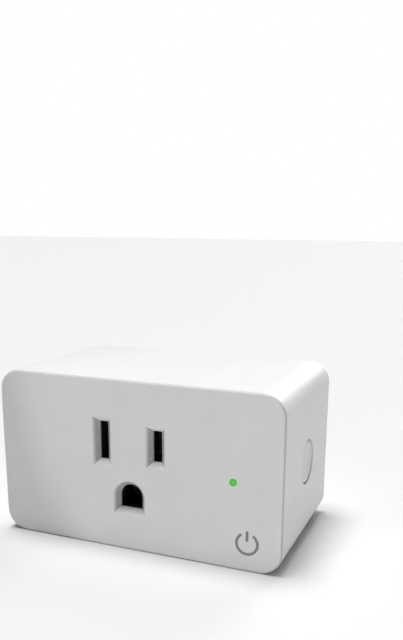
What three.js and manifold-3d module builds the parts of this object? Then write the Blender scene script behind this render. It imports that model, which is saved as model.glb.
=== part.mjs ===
// Smart plug: a switched wall adapter with one grounded socket in front, three pins behind and a push
// button in its right-hand side. Millimetres. The origin lies in the rear face, midway between the two
// flat pins; +X points to the right as the socket is faced, +Y into the wall and +Z up.
import * as THREE from "three";
import { mergeVertices } from "three/addons/utils/BufferGeometryUtils.js";
import Module from "manifold-3d";

const wasm = await Module();
wasm.setup();
const mergeDistance = 1e-5;

// ---------------------------------------------------------------- driving dimensions

// body
const bodyWidth = 66.2;
const bodyHeight = 37.8;
const bodyDepth = 37.8;
const bodyCentreX = 1.15; // the pins sit a little left of the body's middle
const bodyCentreZ = -5.05; // the pin pattern as a whole is centred in the height
const outlineRadius = 4.8;
const edgeRound = 0.4;
const sideWall = 2.0;
const frontWall = 2.2;
const coverThickness = 2.2;
const seamGap = 0.15;
const padHeight = 2.8; // raised pad inside the cover, round the pins
const ribFromSide = 11.2; // the cover's ribs hold the main board down
const ribThickness = 1.4;
const ribEndGap = 4;

// pin pattern, the same for the socket in front and the plug behind
const bladeSpacing = 12.7;
const groundDrop = 11.9;
const bladeThickness = 1.5;
const hotBladeHeight = 6.35;
const neutralBladeHeight = 7.94;
const bladeReach = 17.9;
const bladeTipChamfer = 1.6;
const bladeHoleDiameter = 3.2;
const bladeHoleFromFace = 11.9;
const groundPinDiameter = 4.75;
const groundPinReach = 21.0;
const groundTipRound = 1.6;
const pinClearance = 0.1;
const shoulderOverhang = 1.4;
const shoulderThickness = 1.0;
const tailWidth = 3.6;
const tailStickOut = 1.8;
const groundTailRadius = 1.4;

// socket openings in the front face
const slotWidth = 2.0;
const hotSlotHeight = 6.8;
const neutralSlotHeight = 8.5;
const groundHoleRadius = 2.6;
const groundHoleFlat = 2.75; // from its centre down to the flat
const leadIn = 1.2; // how much each side widens
const groundLeadIn = 1.15;
const leadInDepth = 1.3;

// socket contacts and their carrier
const carrierSideWall = 1.3;
const carrierMargin = 1.5;
const carrierFloor = 2.0;
const carrierDepth = 19.6;
const carrierEntryEase = 0.4;
const carrierSeat = 0.5; // the front wall is thinner by this before the carrier
const pocketInward = 2.95; // from a blade's middle to the sides of its pocket
const pocketOutward = 3.15;
const pocketHalfHeight = 4.9;
const groundPocketRadius = 3.9;
const fenceThickness = 1.0;
const fenceHeight = 4.0;
const fenceGap = 0.2;
const leafThickness = 0.7;
const leafMouth = 1.5; // half openings
const leafPinch = 0.62;
const leafRoom = 1.6;
const contactHeight = 6.4;
const contactSetback = 4.8; // from the front face to the mouth of the blades' contacts
const leafFlare = 2.5; // along the blade: from the mouth to the pinch,
const leafSpring = 5.0; // and on to the parallel stretch
const bridgeSetIn = 1.2; // from the carrier's rear
const groundContactSetback = 8.4;
const groundFlare = 2.5;
const groundSpring = 3.0;
const groundMouthOpening = 0.7;
const groundRoom = 0.3;
const groundSetIn = 1.0;
const groundCollar = 4.0; // left whole behind the slits
const groundGrip = 2.25;
const groundLeaf = 0.5;
const slitWidth = 0.8;
const stripWidth = 3.0;
const eyeMargin = 1.4; // metal round the ground pin's tail
const lapLength = 3.0; // of two strips that lie on each other
const lapGap = 0.12; // between metal strips that lie on each other
const stripThickness = 0.8;

// boards
const boardThickness = 1.6;
const boardEdgeGap = 0.5;
const boardFromWall = 7.0; // rear face of the main board
const boardRoom = 0.2; // round what passes through it
const busbarThickness = 0.5;
const busbarMargin = 0.5; // beyond a relay pin
const seatGap = 0.05;

// closing screws
const bossRadius = 2.8;
const bossTopRadius = 2.2;
const bossInset = 2.6; // from the inner walls to the middle of a boss
const webThickness = 1.2; // ties a boss to the corner's two walls
const pilotRadius = 1.15;
const pilotDepth = 9;
const screwRadius = 1.05;
const screwHeadRadius = 2.2;
const screwHeadHeight = 1.1;
const screwLength = 8;
const screwRecess = 0.2;
const screwCrown = 0.3;
const screwCrownInset = 0.5;
const screwRoom = 0.2; // round the head and the shank in the cover
const crossDepth = 0.7;
const crossSpan = 2.4;
const crossWidth = 0.55;

// relay
const relayWidth = 12.7;
const relayLength = 29.0;
const relayHeight = 15.7;
const relayWall = 0.8;
const relayBaseThickness = 1.2;
const relayFromCarrier = 0.3;
const relayDrop = 19.6; // lower end below the pins' middle
const coilLength = 14;
const coilStart = 4.5; // from the relay's lower end
const coilAxisHeight = 7.2;
const coilFlangeRadius = 4.2;
const coilRadius = 3.7;
const coilTubeRadius = 2.5;
const coreRadius = 1.8;
const yokeThickness = 1.2;
const yokeWidth = 8;
const yokeFoot = 1.5; // height of its underside
const yokeRise = 3.4; // beyond the coil's axis
const yokeEase = 0.4; // the yoke ends this far past the core
const coreStickOut = 0.7;
const bobbinFlange = 0.8;
const windingEase = 0.15;
const armatureThickness = 1.0;
const armatureReach = 5.0; // beyond the coil's axis
const armatureHingeHeight = 2.1;
const armatureEdge = 0.2; // below the hinge
const armatureGap = 0.7;
const contactGap = 0.95;
const contactArmThickness = 0.4;
const contactArmFoot = 3.4;
const contactArmHeight = 14.2;
const contactArmWidth = 3.0;
const contactButton = 0.8;
const contactButtonSize = 1.8;
const contactHeightMiddle = 13.1;
const terminalWidth = 4.0;
const terminalThickness = 0.6;
const terminalHeight = 4.5;
const terminalFromLid = 0.4;
const fixedPinSetIn = 1.7; // from the relay's lower end
const commonPinSetOff = 5.2; // beyond the armature

// side button with its switch
const buttonFromFront = 18.9;
const buttonDiameter = 9.6;
const buttonGap = 0.2;
const buttonRecess = 0.15;
const buttonFlangeOverlap = 1.4;
const buttonFlangeThickness = 0.8;
const buttonFlangeGap = 0.1;
const buttonStemRadius = 2.0;
const buttonStemLength = 0.6;
const buttonEdgeChamfer = 0.3;
const plungerRadius = 1.6;
const plungerRise = 1.0;
const plungerSunk = 1.1;
const plungerGap = 0.1;
const buttonTravel = 0.5;
const switchSide = 6.0;
const switchHeight = 3.1;
const sideBoardThickness = 1.2;
const sideBoardHeight = 16;
const sideBoardSetIn = 1.6; // from the front wall
const sideBoardFoot = 0.6; // clear of the main board
const connectorHeight = 10.4;

// light
const ledGap = 0.2; // between the light and the side board
const lightPipeRadius = 0.75;
const lightPipeGap = 0.08;
const lightFlangeRadius = 1.9;
const lightFlangeThickness = 1.05;
const lightPipeSink = 0.05; // below the front face
const ledRadius = 1.5;
const ledLength = 5.3;

// radio board, above the power supply
const radioWidth = 16;
const radioDepth = 24;
const radioThickness = 0.8;
const radioFromMiddle = 7.6;
const radioFromTop = 1.2;
const radioFoot = 0.6; // clear of the main board
const shieldMargin = 1.6;
const shieldHeight = 2.4;
const shieldWall = 0.3;
const antennaLength = 7.0; // board left bare towards the front
const shieldFromHeader = 4.0;
const headerSize = 2.5;
const headerMargin = 2.0;

// ---------------------------------------------------------------- derived places

const rightX = bodyCentreX + bodyWidth / 2;
const leftX = bodyCentreX - bodyWidth / 2;
const topZ = bodyCentreZ + bodyHeight / 2;
const bottomZ = bodyCentreZ - bodyHeight / 2;
const frontY = -bodyDepth;
const frontInsideY = frontY + frontWall;
const rootY = frontY + frontWall / 2; // posts and fences start inside the front wall
const hotX = bladeSpacing / 2;
const neutralX = -bladeSpacing / 2;
const boardRearY = -boardFromWall;
const boardFrontY = boardRearY - boardThickness;
const partsY = boardFrontY - lapGap; // where parts on the main board begin
const padY = -coverThickness - padHeight;
const shoulderY = padY - seatGap;
const tailEndY = boardFrontY - tailStickOut;
const carrierFrontY = frontInsideY + seatGap;
const carrierRearY = carrierFrontY + carrierDepth;
const pocketInner = hotX - pocketInward;
const pocketOuter = hotX + pocketOutward;
const carrierHalfWidth = pocketOuter + carrierSideWall;
const carrierTopZ = pocketHalfHeight + carrierMargin;
const carrierBottomZ = -groundDrop - groundPocketRadius - carrierMargin;
const buttonY = frontY + buttonFromFront;
const buttonZ = bodyCentreZ;
const wallInsideX = rightX - sideWall;
const flangeX = wallInsideX - buttonFlangeGap - buttonFlangeThickness;
const stemX = flangeX - buttonStemLength;
const plungerX = stemX - seatGap;
const switchX = plungerX - plungerRise;
const sideBoardX = switchX - switchHeight - seatGap;
const lightX = sideBoardX - sideBoardThickness - ledGap - ledRadius;
const lightZ = bodyCentreZ;
const bosses = [
  [rightX - sideWall - bossInset, topZ - sideWall - bossInset],
  [leftX + sideWall + bossInset, topZ - sideWall - bossInset],
  [leftX + sideWall + bossInset, bottomZ + sideWall + bossInset],
  [rightX - sideWall - bossInset, bottomZ + sideWall + bossInset],
];

// ---------------------------------------------------------------- finishes

function finish(color, roughness, metalness = 0) {
  return new THREE.MeshStandardMaterial({ color, roughness, metalness });
}

const whiteShell = finish(0xf1f1f3, 0.42);
const whiteCover = finish(0xeaeaec, 0.5);
const whiteButton = finish(0xe9e9ec, 0.38);
const blackCarrier = finish(0x1d1d20, 0.6);
const blackPart = finish(0x202226, 0.45);
const relayPlastic = finish(0x2b4f7e, 0.4);
const brass = finish(0xc6a152, 0.32, 1);
const nickel = finish(0xc9c7c1, 0.25, 1);
const steel = finish(0x9ea3a8, 0.35, 1);
const copper = finish(0xb8683c, 0.35, 1);
const boardGreen = finish(0x1f6a3f, 0.5);
const boardBlack = finish(0x15181a, 0.5);
const blueDisc = finish(0x2c5fa8, 0.45);
const ferrite = finish(0x3c3d40, 0.7);
const yellowTape = finish(0xd8b33a, 0.5);
const resistorBody = finish(0x8cae8a, 0.5);
const sleeve = finish(0x26303e, 0.4);
const clearLight = finish(0xdff3df, 0.15);
const ledGreen = finish(0x58c65a, 0.2);

// ---------------------------------------------------------------- solids

// a closed geometry becomes a solid that can be joined and cut
function solid(geometry) {
  const bare = geometry.clone();
  for (const name of Object.keys(bare.attributes)) {
    if (name !== "position") bare.deleteAttribute(name);
  }
  const merged = mergeVertices(bare, mergeDistance);
  const corners = [];
  for (let i = 0; i < merged.index.count; i += 3) {
    const [a, b, c] = [0, 1, 2].map((k) => merged.index.getX(i + k));
    if (a !== b && b !== c && c !== a) corners.push(a, b, c);
  }
  return new wasm.Manifold(
    new wasm.Mesh({
      numProp: 3,
      vertProperties: new Float32Array(merged.attributes.position.array),
      triVerts: new Uint32Array(corners),
    }),
  );
}

function join(first, ...others) {
  return others.reduce((whole, piece) => whole.add(piece), first);
}

function cut(first, ...tools) {
  return tools.reduce((whole, tool) => whole.subtract(tool), first);
}

// a block between two corners, given as [low, high] along each axis
function block([x0, x1], [y0, y1], [z0, z1]) {
  const geometry = new THREE.BoxGeometry(x1 - x0, y1 - y0, z1 - z0);
  return solid(geometry.translate((x0 + x1) / 2, (y0 + y1) / 2, (z0 + z1) / 2));
}

// a range of the given size about a middle
function about(middle, size) {
  return [middle - size / 2, middle + size / 2];
}

function between(a, b) {
  return [Math.min(a, b), Math.max(a, b)];
}

function extrude(shape, depth, bevel) {
  const none = { bevelEnabled: false };
  return new THREE.ExtrudeGeometry(shape, { depth, curveSegments: 5, ...(bevel ?? none) });
}

// an outline in X and Z, from rearY forward by its depth
function alongY(shape, rearY, depth, bevel) {
  return solid(extrude(shape, depth, bevel).rotateX(Math.PI / 2).translate(0, rearY, 0));
}

// an outline in Y and Z, from lowX to the right
function alongX(shape, lowX, depth) {
  const turn = new THREE.Matrix4().makeBasis(
    new THREE.Vector3(0, 1, 0),
    new THREE.Vector3(0, 0, 1),
    new THREE.Vector3(1, 0, 0),
  );
  return solid(extrude(shape, depth).applyMatrix4(turn).translate(lowX, 0, 0));
}

// an outline in X and Y, from lowZ upward
function alongZ(shape, lowZ, depth) {
  return solid(extrude(shape, depth).translate(0, 0, lowZ));
}

// a turned piece: [radius, place] pairs that rise along the axis; they start and end on it, or where
// the first one lies
function turned(profile, segments) {
  return new THREE.LatheGeometry(
    profile.map(([radius, place]) => new THREE.Vector2(radius, place)),
    segments,
  );
}

function turnedY(profile, x, z, segments = 24) {
  return solid(turned(profile, segments).translate(x, 0, z));
}

function turnedX(profile, y, z, segments = 24) {
  return solid(turned(profile, segments).rotateZ(-Math.PI / 2).translate(0, y, z));
}

function turnedZ(profile, x, y, segments = 24) {
  return solid(turned(profile, segments).rotateX(Math.PI / 2).translate(x, y, 0));
}

function rod(radius, low, high) {
  return [[0, low], [radius, low], [radius, high], [0, high]];
}

function ring(inner, outer, low, high) {
  return [[inner, low], [outer, low], [outer, high], [inner, high], [inner, low]];
}

function outline(points) {
  return new THREE.Shape(points.map(([a, b]) => new THREE.Vector2(a, b)));
}

function roundedRectangle(width, height, radius, x = 0, z = 0) {
  const [left, right] = about(x, width);
  const [low, high] = about(z, height);
  const shape = new THREE.Shape();
  shape.moveTo(right - radius, low);
  shape.absarc(right - radius, low + radius, radius, -Math.PI / 2, 0);
  shape.absarc(right - radius, high - radius, radius, 0, Math.PI / 2);
  shape.absarc(left + radius, high - radius, radius, Math.PI / 2, Math.PI);
  shape.absarc(left + radius, low + radius, radius, Math.PI, Math.PI * 1.5);
  return shape;
}

function rectangle(width, height, x, z) {
  const [left, right] = about(x, width);
  const [low, high] = about(z, height);
  return outline([[left, low], [right, low], [right, high], [left, high]]);
}

// round above, straight sides below, ending in a flat
function groundOutline(radius, flat) {
  const shape = new THREE.Shape();
  shape.moveTo(-radius, -groundDrop - flat);
  shape.lineTo(radius, -groundDrop - flat);
  shape.lineTo(radius, -groundDrop);
  shape.absarc(0, -groundDrop, radius, 0, Math.PI);
  return shape;
}

// the body's outline, drawn in by some amount all round
function bodyOutline(inset) {
  const [width, height] = [bodyWidth - 2 * inset, bodyHeight - 2 * inset];
  return roundedRectangle(width, height, outlineRadius - inset, bodyCentreX, bodyCentreZ);
}

// ---------------------------------------------------------------- casing

// the carrier's outline, grown all round
function carrierBlock(growth, depths) {
  return block(
    about(0, 2 * (carrierHalfWidth + growth)),
    depths,
    [carrierBottomZ - growth, carrierTopZ + growth],
  );
}

// widens towards the front face and runs straight through the wall
function socketCutter(shape, widening) {
  const lead = { bevelThickness: leadInDepth, bevelSize: widening, bevelSegments: 1 };
  const funnel = alongY(shape, frontY, leadInDepth, lead);
  return join(funnel, alongY(shape, frontInsideY + seatGap / 2, frontWall));
}

function frontHousing() {
  const edges = {
    bevelThickness: edgeRound,
    bevelSize: edgeRound,
    bevelOffset: -edgeRound,
    bevelSegments: 2,
  };
  const outside = alongY(bodyOutline(0), -edgeRound, bodyDepth - 2 * edgeRound, edges);
  const inside = alongY(bodyOutline(sideWall), 1, bodyDepth - frontWall + 1);
  const shoulder = boardFrontY - seatGap;
  const posts = bosses.map(([x, z]) =>
    turnedY(
      [
        [0, rootY],
        [bossRadius, rootY],
        [bossRadius, shoulder],
        [bossTopRadius, shoulder],
        [bossTopRadius, -coverThickness - seatGap],
        [0, -coverThickness - seatGap],
      ],
      x,
      z,
    ),
  );
  const webs = bosses.map(([x, z]) => {
    const reach = bossInset + sideWall / 2;
    const towards = [Math.sign(x - bodyCentreX) * reach, Math.sign(z - bodyCentreZ) * reach];
    const depths = [rootY, shoulder];
    return block(between(x, x + towards[0]), depths, about(z, webThickness)).add(
      block(about(x, webThickness), depths, between(z, z + towards[1])),
    );
  });
  const pilots = bosses.map(([x, z]) =>
    turnedY(rod(pilotRadius, -coverThickness - pilotDepth, 0), x, z),
  );
  const fence = cut(
    carrierBlock(fenceGap + fenceThickness, [rootY, frontInsideY + fenceHeight]),
    carrierBlock(fenceGap, [frontInsideY, frontInsideY + fenceHeight + 1]),
  );
  const seat = carrierBlock(fenceGap, [frontInsideY - carrierSeat, frontInsideY + fenceHeight + 1]);
  const shell = cut(join(cut(outside, inside), fence, ...posts, ...webs), seat);
  const buttonHole = turnedX(
    rod(buttonDiameter / 2 + buttonGap, wallInsideX - 1, rightX + 1),
    buttonY,
    buttonZ,
    36,
  );
  const lightHole = turnedY(
    rod(lightPipeRadius + lightPipeGap, frontY - 1, frontInsideY + 1),
    lightX,
    lightZ,
    20,
  );
  return cut(
    shell,
    ...pilots,
    socketCutter(rectangle(slotWidth, neutralSlotHeight, neutralX, 0), leadIn),
    socketCutter(rectangle(slotWidth, hotSlotHeight, hotX, 0), leadIn),
    socketCutter(groundOutline(groundHoleRadius, groundHoleFlat), groundLeadIn),
    buttonHole,
    lightHole,
  );
}

function rearCover() {
  const plate = alongY(bodyOutline(sideWall + seamGap), 0, coverThickness);
  const pad = carrierBlock(0, [padY, -coverThickness / 2]);
  const ribs = [leftX + ribFromSide, rightX - ribFromSide].map((x) =>
    block(
      about(x, ribThickness),
      [boardRearY + seatGap, -coverThickness / 2],
      [bottomZ + sideWall + ribEndGap, topZ - sideWall - ribEndGap],
    ),
  );
  const heads = bosses.map(([x, z]) =>
    turnedY(rod(screwHeadRadius + screwRoom, -screwHeadHeight - screwRecess - seatGap, 1), x, z),
  );
  const shanks = bosses.map(([x, z]) =>
    turnedY(rod(screwRadius + screwRoom, -2 * coverThickness, 1), x, z),
  );
  const slots = [
    [neutralX, neutralBladeHeight],
    [hotX, hotBladeHeight],
  ].map(([x, height]) =>
    block(
      about(x, bladeThickness + 2 * pinClearance),
      [padY - 1, 1],
      about(0, height + 2 * pinClearance),
    ),
  );
  const groundHole = turnedY(rod(groundPinDiameter / 2 + pinClearance, padY - 1, 1), 0, -groundDrop);
  return cut(join(plate, pad, ...ribs), ...heads, ...shanks, ...slots, groundHole);
}

// a pan head with a cross recess on a plain shank
function rearScrew([x, z]) {
  const headTop = -screwRecess;
  const headBottom = headTop - screwHeadHeight;
  const body = turnedY(
    [
      [0, headBottom - screwLength],
      [screwRadius, headBottom - screwLength],
      [screwRadius, headBottom],
      [screwHeadRadius, headBottom],
      [screwHeadRadius, headTop - screwCrown],
      [screwHeadRadius - screwCrownInset, headTop],
      [0, headTop],
    ],
    x,
    z,
  );
  const depth = [headTop - crossDepth, headTop + 1];
  return cut(
    body,
    block(about(x, crossSpan), depth, about(z, crossWidth)),
    block(about(x, crossWidth), depth, about(z, crossSpan)),
  );
}

// ---------------------------------------------------------------- pins

function blade(x, height) {
  const half = height / 2;
  const wide = half + shoulderOverhang;
  const shape = outline([
    [bladeReach, half - bladeTipChamfer],
    [bladeReach - bladeTipChamfer, half],
    [shoulderY, half],
    [shoulderY, wide],
    [shoulderY - shoulderThickness, wide],
    [shoulderY - shoulderThickness, tailWidth / 2],
    [tailEndY, tailWidth / 2],
    [tailEndY, -tailWidth / 2],
    [shoulderY - shoulderThickness, -tailWidth / 2],
    [shoulderY - shoulderThickness, -wide],
    [shoulderY, -wide],
    [shoulderY, -half],
    [bladeReach - bladeTipChamfer, -half],
    [bladeReach, bladeTipChamfer - half],
  ]);
  const eye = new THREE.Path();
  eye.absarc(bladeHoleFromFace, 0, bladeHoleDiameter / 2, 0, Math.PI * 2);
  shape.holes.push(eye);
  return alongX(shape, x - bladeThickness / 2, bladeThickness);
}

function groundPin() {
  const radius = groundPinDiameter / 2;
  const tip = [0, 1, 2, 3].map((step) => {
    const turn = (step / 3) * (Math.PI / 2);
    return [
      radius - groundTipRound * (1 - Math.cos(turn)),
      groundPinReach - groundTipRound * (1 - Math.sin(turn)),
    ];
  });
  return turnedY(
    [
      [0, tailEndY],
      [groundTailRadius, tailEndY],
      [groundTailRadius, shoulderY - shoulderThickness],
      [radius + shoulderOverhang, shoulderY - shoulderThickness],
      [radius + shoulderOverhang, shoulderY],
      [radius, shoulderY],
      ...tip,
      [0, groundPinReach],
    ],
    0,
    -groundDrop,
  );
}

// ---------------------------------------------------------------- socket contacts

function contactCarrier() {
  const body = carrierBlock(0, [carrierFrontY, carrierRearY]);
  const through = [carrierFrontY - 1, carrierRearY + 1];
  const pocketY = [carrierFrontY + carrierFloor, carrierRearY + 1];
  const pockets = [-1, 1].map((side) =>
    block(
      side > 0 ? [pocketInner, pocketOuter] : [-pocketOuter, -pocketInner],
      pocketY,
      about(0, 2 * pocketHalfHeight),
    ),
  );
  const entries = [
    [neutralX, neutralSlotHeight],
    [hotX, hotSlotHeight],
  ].map(([x, height]) =>
    block(about(x, slotWidth + carrierEntryEase), through, about(0, height + carrierEntryEase)),
  );
  const groundEntry = alongY(
    groundOutline(groundHoleRadius + carrierEntryEase, groundHoleFlat + carrierEntryEase),
    through[1],
    through[1] - through[0],
  );
  const groundPocket = turnedY(rod(groundPocketRadius, ...pocketY), 0, -groundDrop);
  return cut(body, ...pockets, ...entries, groundEntry, groundPocket);
}

// two spring leaves joined behind, with a tail to one side; the outline is seen from above
function bladeContact(x, side, tailFrom, tailRearY) {
  const mouthY = frontY + contactSetback;
  const bridgeY = carrierRearY - bridgeSetIn;
  const leaf = [
    [leafMouth, mouthY],
    [leafPinch, mouthY + leafFlare],
    [leafRoom, mouthY + leafFlare + leafSpring],
    [leafRoom, bridgeY - leafThickness],
  ];
  const outer = leaf.map(([half, y]) => [half + leafThickness, y]).slice(0, 3);
  const shape = outline([
    ...outer.map(([half, y]) => [x + half, y]),
    [x + leafRoom + leafThickness, bridgeY],
    [x - leafRoom - leafThickness, bridgeY],
    ...outer.toReversed().map(([half, y]) => [x - half, y]),
    ...leaf.map(([half, y]) => [x - half, y]),
    ...leaf.toReversed().map(([half, y]) => [x + half, y]),
  ]);
  const tail = block(
    between(x + side * tailFrom, x + side * (tailFrom + stripThickness)),
    [bridgeY - leafThickness, tailRearY],
    about(0, tailWidth),
  );
  return join(alongZ(shape, -contactHeight / 2, contactHeight), tail);
}

const groundStripLow = -groundDrop - groundGrip - groundRoom - groundLeaf;

// a slit tube that grips the round pin, with a strip below that runs back
function groundContact(tailRearY) {
  const mouthY = frontY + groundContactSetback;
  const rearY = carrierRearY - groundSetIn;
  const leaf = [
    [groundGrip + groundMouthOpening, mouthY],
    [groundGrip, mouthY + groundFlare],
    [groundGrip + groundRoom, mouthY + groundFlare + groundSpring],
    [groundGrip + groundRoom, rearY],
  ];
  const profile = [
    ...leaf.map(([radius, y]) => [radius + groundLeaf, y]),
    ...leaf.toReversed(),
    [leaf[0][0] + groundLeaf, mouthY],
  ];
  const tube = turnedY(profile, 0, -groundDrop, 24);
  const slitY = [mouthY - 1, rearY - groundCollar];
  const across = 2 * groundPocketRadius;
  const slits = [
    block(about(0, across), slitY, about(-groundDrop, slitWidth)),
    block(about(0, slitWidth), slitY, about(-groundDrop, across)),
  ];
  const tail = block(
    about(0, stripWidth),
    [rearY - groundCollar + groundLeaf, tailRearY],
    [groundStripLow, groundStripLow + groundLeaf],
  );
  return cut(tube, ...slits).add(tail);
}

// a ring round the ground pin's tail and a leg that laps the contact's strip
function groundStrap() {
  const legTop = groundStripLow - lapGap;
  const legLow = legTop - stripThickness;
  const plateY = [partsY - stripThickness, partsY];
  const eyeReach = groundTailRadius + eyeMargin;
  const plate = block(about(0, 2 * eyeReach), plateY, [legLow, eyeReach - groundDrop]);
  const leg = block(about(0, stripWidth), [carrierRearY + fenceGap, plateY[1]], [legLow, legTop]);
  const eye = turnedY(rod(groundTailRadius + lapGap, plateY[0] - 1, plateY[1] + 1), 0, -groundDrop);
  return cut(plate, eye).add(leg);
}

// ---------------------------------------------------------------- relay

// places inside the relay: its height above the board runs forward, along -Y
const relayLowZ = -relayDrop;
const relayHighZ = relayLowZ + relayLength;
const relayX = carrierHalfWidth + relayFromCarrier + relayWidth / 2;
const relayTopY = partsY - relayHeight;
const coilY = partsY - coilAxisHeight;
const coilLowZ = relayLowZ + coilStart;
const coilHighZ = coilLowZ + coilLength;
const coreTopZ = coilHighZ + coreStickOut;
const yokeLowZ = coilLowZ - yokeThickness - lapGap;
const armatureZ = coreTopZ + armatureGap;
const contactArmZ = armatureZ + armatureThickness + lapGap;
const contactHeights = about(contactHeightMiddle, contactButtonSize);
const fixedPinZ = relayLowZ + fixedPinSetIn;
const commonPinZ = armatureZ + commonPinSetOff;
const pinEndY = boardRearY + stripThickness + lapGap;

// an outline of [height above the board, Z] pairs
function atHeight(points) {
  return outline(points.map(([height, z]) => [partsY - height, z]));
}

// room for a terminal that passes through a plate
function terminalSlot(z, depths) {
  return block(
    about(relayX, terminalWidth + 2 * lapGap),
    depths,
    about(z, terminalThickness + 2 * lapGap),
  );
}

function relayCase() {
  const outside = block(about(relayX, relayWidth), [relayTopY, partsY], [relayLowZ, relayHighZ]);
  const inside = block(
    about(relayX, relayWidth - 2 * relayWall),
    [relayTopY + relayWall, partsY + 1],
    [relayLowZ + relayWall, relayHighZ - relayWall],
  );
  return outside.subtract(inside);
}

function relayBase() {
  const room = relayWall + lapGap;
  const plate = block(
    about(relayX, relayWidth - 2 * room),
    [partsY - relayBaseThickness, partsY],
    [relayLowZ + room, relayHighZ - room],
  );
  const through = [partsY - relayBaseThickness - 1, partsY + 1];
  return cut(plate, terminalSlot(fixedPinZ, through), terminalSlot(commonPinZ, through));
}

function relayBobbin() {
  const bore = coreRadius + windingEase;
  return turnedZ(
    [
      [bore, coilLowZ],
      [coilFlangeRadius, coilLowZ],
      [coilFlangeRadius, coilLowZ + bobbinFlange],
      [coilTubeRadius, coilLowZ + bobbinFlange],
      [coilTubeRadius, coilHighZ - bobbinFlange],
      [coilFlangeRadius, coilHighZ - bobbinFlange],
      [coilFlangeRadius, coilHighZ],
      [bore, coilHighZ],
      [bore, coilLowZ],
    ],
    relayX,
    coilY,
  );
}

function relayCoil() {
  const ends = bobbinFlange + windingEase;
  return turnedZ(
    ring(coilTubeRadius + windingEase, coilRadius, coilLowZ + ends, coilHighZ - ends),
    relayX,
    coilY,
  );
}

function relayCore() {
  return turnedZ(rod(coreRadius, yokeLowZ, coreTopZ), relayX, coilY);
}

// an angle: its long leg runs beside the coil and the short one holds the core
function relayYoke() {
  const shape = atHeight([
    [coilAxisHeight + yokeRise, yokeLowZ],
    [coilAxisHeight + yokeRise, yokeLowZ + yokeThickness],
    [yokeFoot + yokeThickness, yokeLowZ + yokeThickness],
    [yokeFoot + yokeThickness, coreTopZ + yokeEase],
    [yokeFoot, coreTopZ + yokeEase],
    [yokeFoot, yokeLowZ],
  ]);
  const bore = turnedZ(
    rod(coreRadius + lapGap, yokeLowZ - 1, yokeLowZ + yokeThickness + lapGap),
    relayX,
    coilY,
  );
  return alongX(shape, relayX - yokeWidth / 2, yokeWidth).subtract(bore);
}

function relayArmature() {
  const topY = partsY - coilAxisHeight - armatureReach;
  const footY = partsY - armatureHingeHeight + armatureEdge;
  return block(
    about(relayX, yokeWidth),
    [topY, footY],
    [armatureZ, armatureZ + armatureThickness],
  );
}

function relayContactArm() {
  const [low, high] = contactHeights;
  const shape = atHeight([
    [contactArmFoot, contactArmZ],
    [low, contactArmZ],
    [low, contactArmZ - contactButton],
    [high, contactArmZ - contactButton],
    [high, contactArmZ],
    [contactArmHeight, contactArmZ],
    [contactArmHeight, contactArmZ + contactArmThickness],
    [contactArmFoot, contactArmZ + contactArmThickness],
  ]);
  return alongX(shape, relayX - contactArmWidth / 2, contactArmWidth);
}

// from its board pin up the end wall, along under the lid and down to the fixed contact
function relayFixedContact() {
  const thickness = terminalThickness;
  const faceZ = contactArmZ - contactButton - contactGap;
  const tabZ = faceZ - contactButton - thickness;
  const lid = relayHeight - relayWall - terminalFromLid;
  const [pinLowZ, pinHighZ] = about(fixedPinZ, thickness);
  const [low, high] = contactHeights;
  const shape = atHeight([
    [partsY - pinEndY, pinLowZ],
    [partsY - pinEndY, pinHighZ],
    [lid - thickness, pinHighZ],
    [lid - thickness, tabZ],
    [low, tabZ],
    [low, faceZ],
    [high, faceZ],
    [high, tabZ + thickness],
    [lid, tabZ + thickness],
    [lid, pinLowZ],
  ]);
  return alongX(shape, relayX - terminalWidth / 2, terminalWidth);
}

function relayCommonTerminal() {
  return block(
    about(relayX, terminalWidth),
    [partsY - terminalHeight, pinEndY],
    about(commonPinZ, terminalThickness),
  );
}

// ---------------------------------------------------------------- boards and current paths

const hotTailOffset = leafRoom + leafThickness - lapGap; // from the hot slot's middle to its contact's tail
const riserLowX = hotX + hotTailOffset + stripThickness + lapGap;
const riserX = [riserLowX, riserLowX + stripThickness];
const riserZ = [-4.8, -1.2];
const busbarY = [boardRearY + lapGap, boardRearY + lapGap + busbarThickness];
const boardY = [boardFrontY - 1, boardRearY + 1];

function mainBoard() {
  const plate = alongY(bodyOutline(sideWall + boardEdgeGap), boardRearY, boardThickness);
  const notches = bosses.map(([x, z]) =>
    turnedY(rod(bossTopRadius + boardRoom, ...boardY), x, z),
  );
  const bladeSlots = [neutralX, hotX].map((x) =>
    block(about(x, bladeThickness + 2 * boardRoom), boardY, about(0, tailWidth + 2 * boardRoom)),
  );
  const riserSlot = block(
    [riserX[0] - boardRoom, riserX[1] + boardRoom],
    boardY,
    [riserZ[0] - boardRoom, riserZ[1] + boardRoom],
  );
  const groundHole = turnedY(rod(groundTailRadius + boardRoom, ...boardY), 0, -groundDrop);
  const relaySlots = [fixedPinZ, commonPinZ].map((z) => terminalSlot(z, boardY));
  return cut(plate, ...notches, ...bladeSlots, riserSlot, groundHole, ...relaySlots);
}

// flat strips on the rear of the main board, slotted for the relay's pins
function lineBusbar() {
  const nearX = hotX + bladeThickness / 2 + lapGap;
  const farX = relayX + terminalWidth / 2 + busbarMargin;
  const low = 0;
  const run = block([nearX, farX], busbarY, [low, low + stripWidth]);
  const rise = block(
    [relayX - terminalWidth / 2 - busbarMargin, farX],
    busbarY,
    [low, commonPinZ + stripWidth / 2],
  );
  return cut(join(run, rise), terminalSlot(commonPinZ, boardY));
}

function loadBusbar() {
  const foot = block(
    [riserX[0], relayX + terminalWidth / 2 + busbarMargin],
    busbarY,
    about(fixedPinZ, stripWidth),
  );
  const run = block(
    [riserX[0], riserX[0] + stripWidth],
    busbarY,
    [fixedPinZ - stripWidth / 2, riserZ[1]],
  );
  const riser = block(riserX, [carrierRearY + fenceGap, busbarY[1]], riserZ);
  return cut(join(foot, run, riser), terminalSlot(fixedPinZ, boardY));
}

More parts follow.
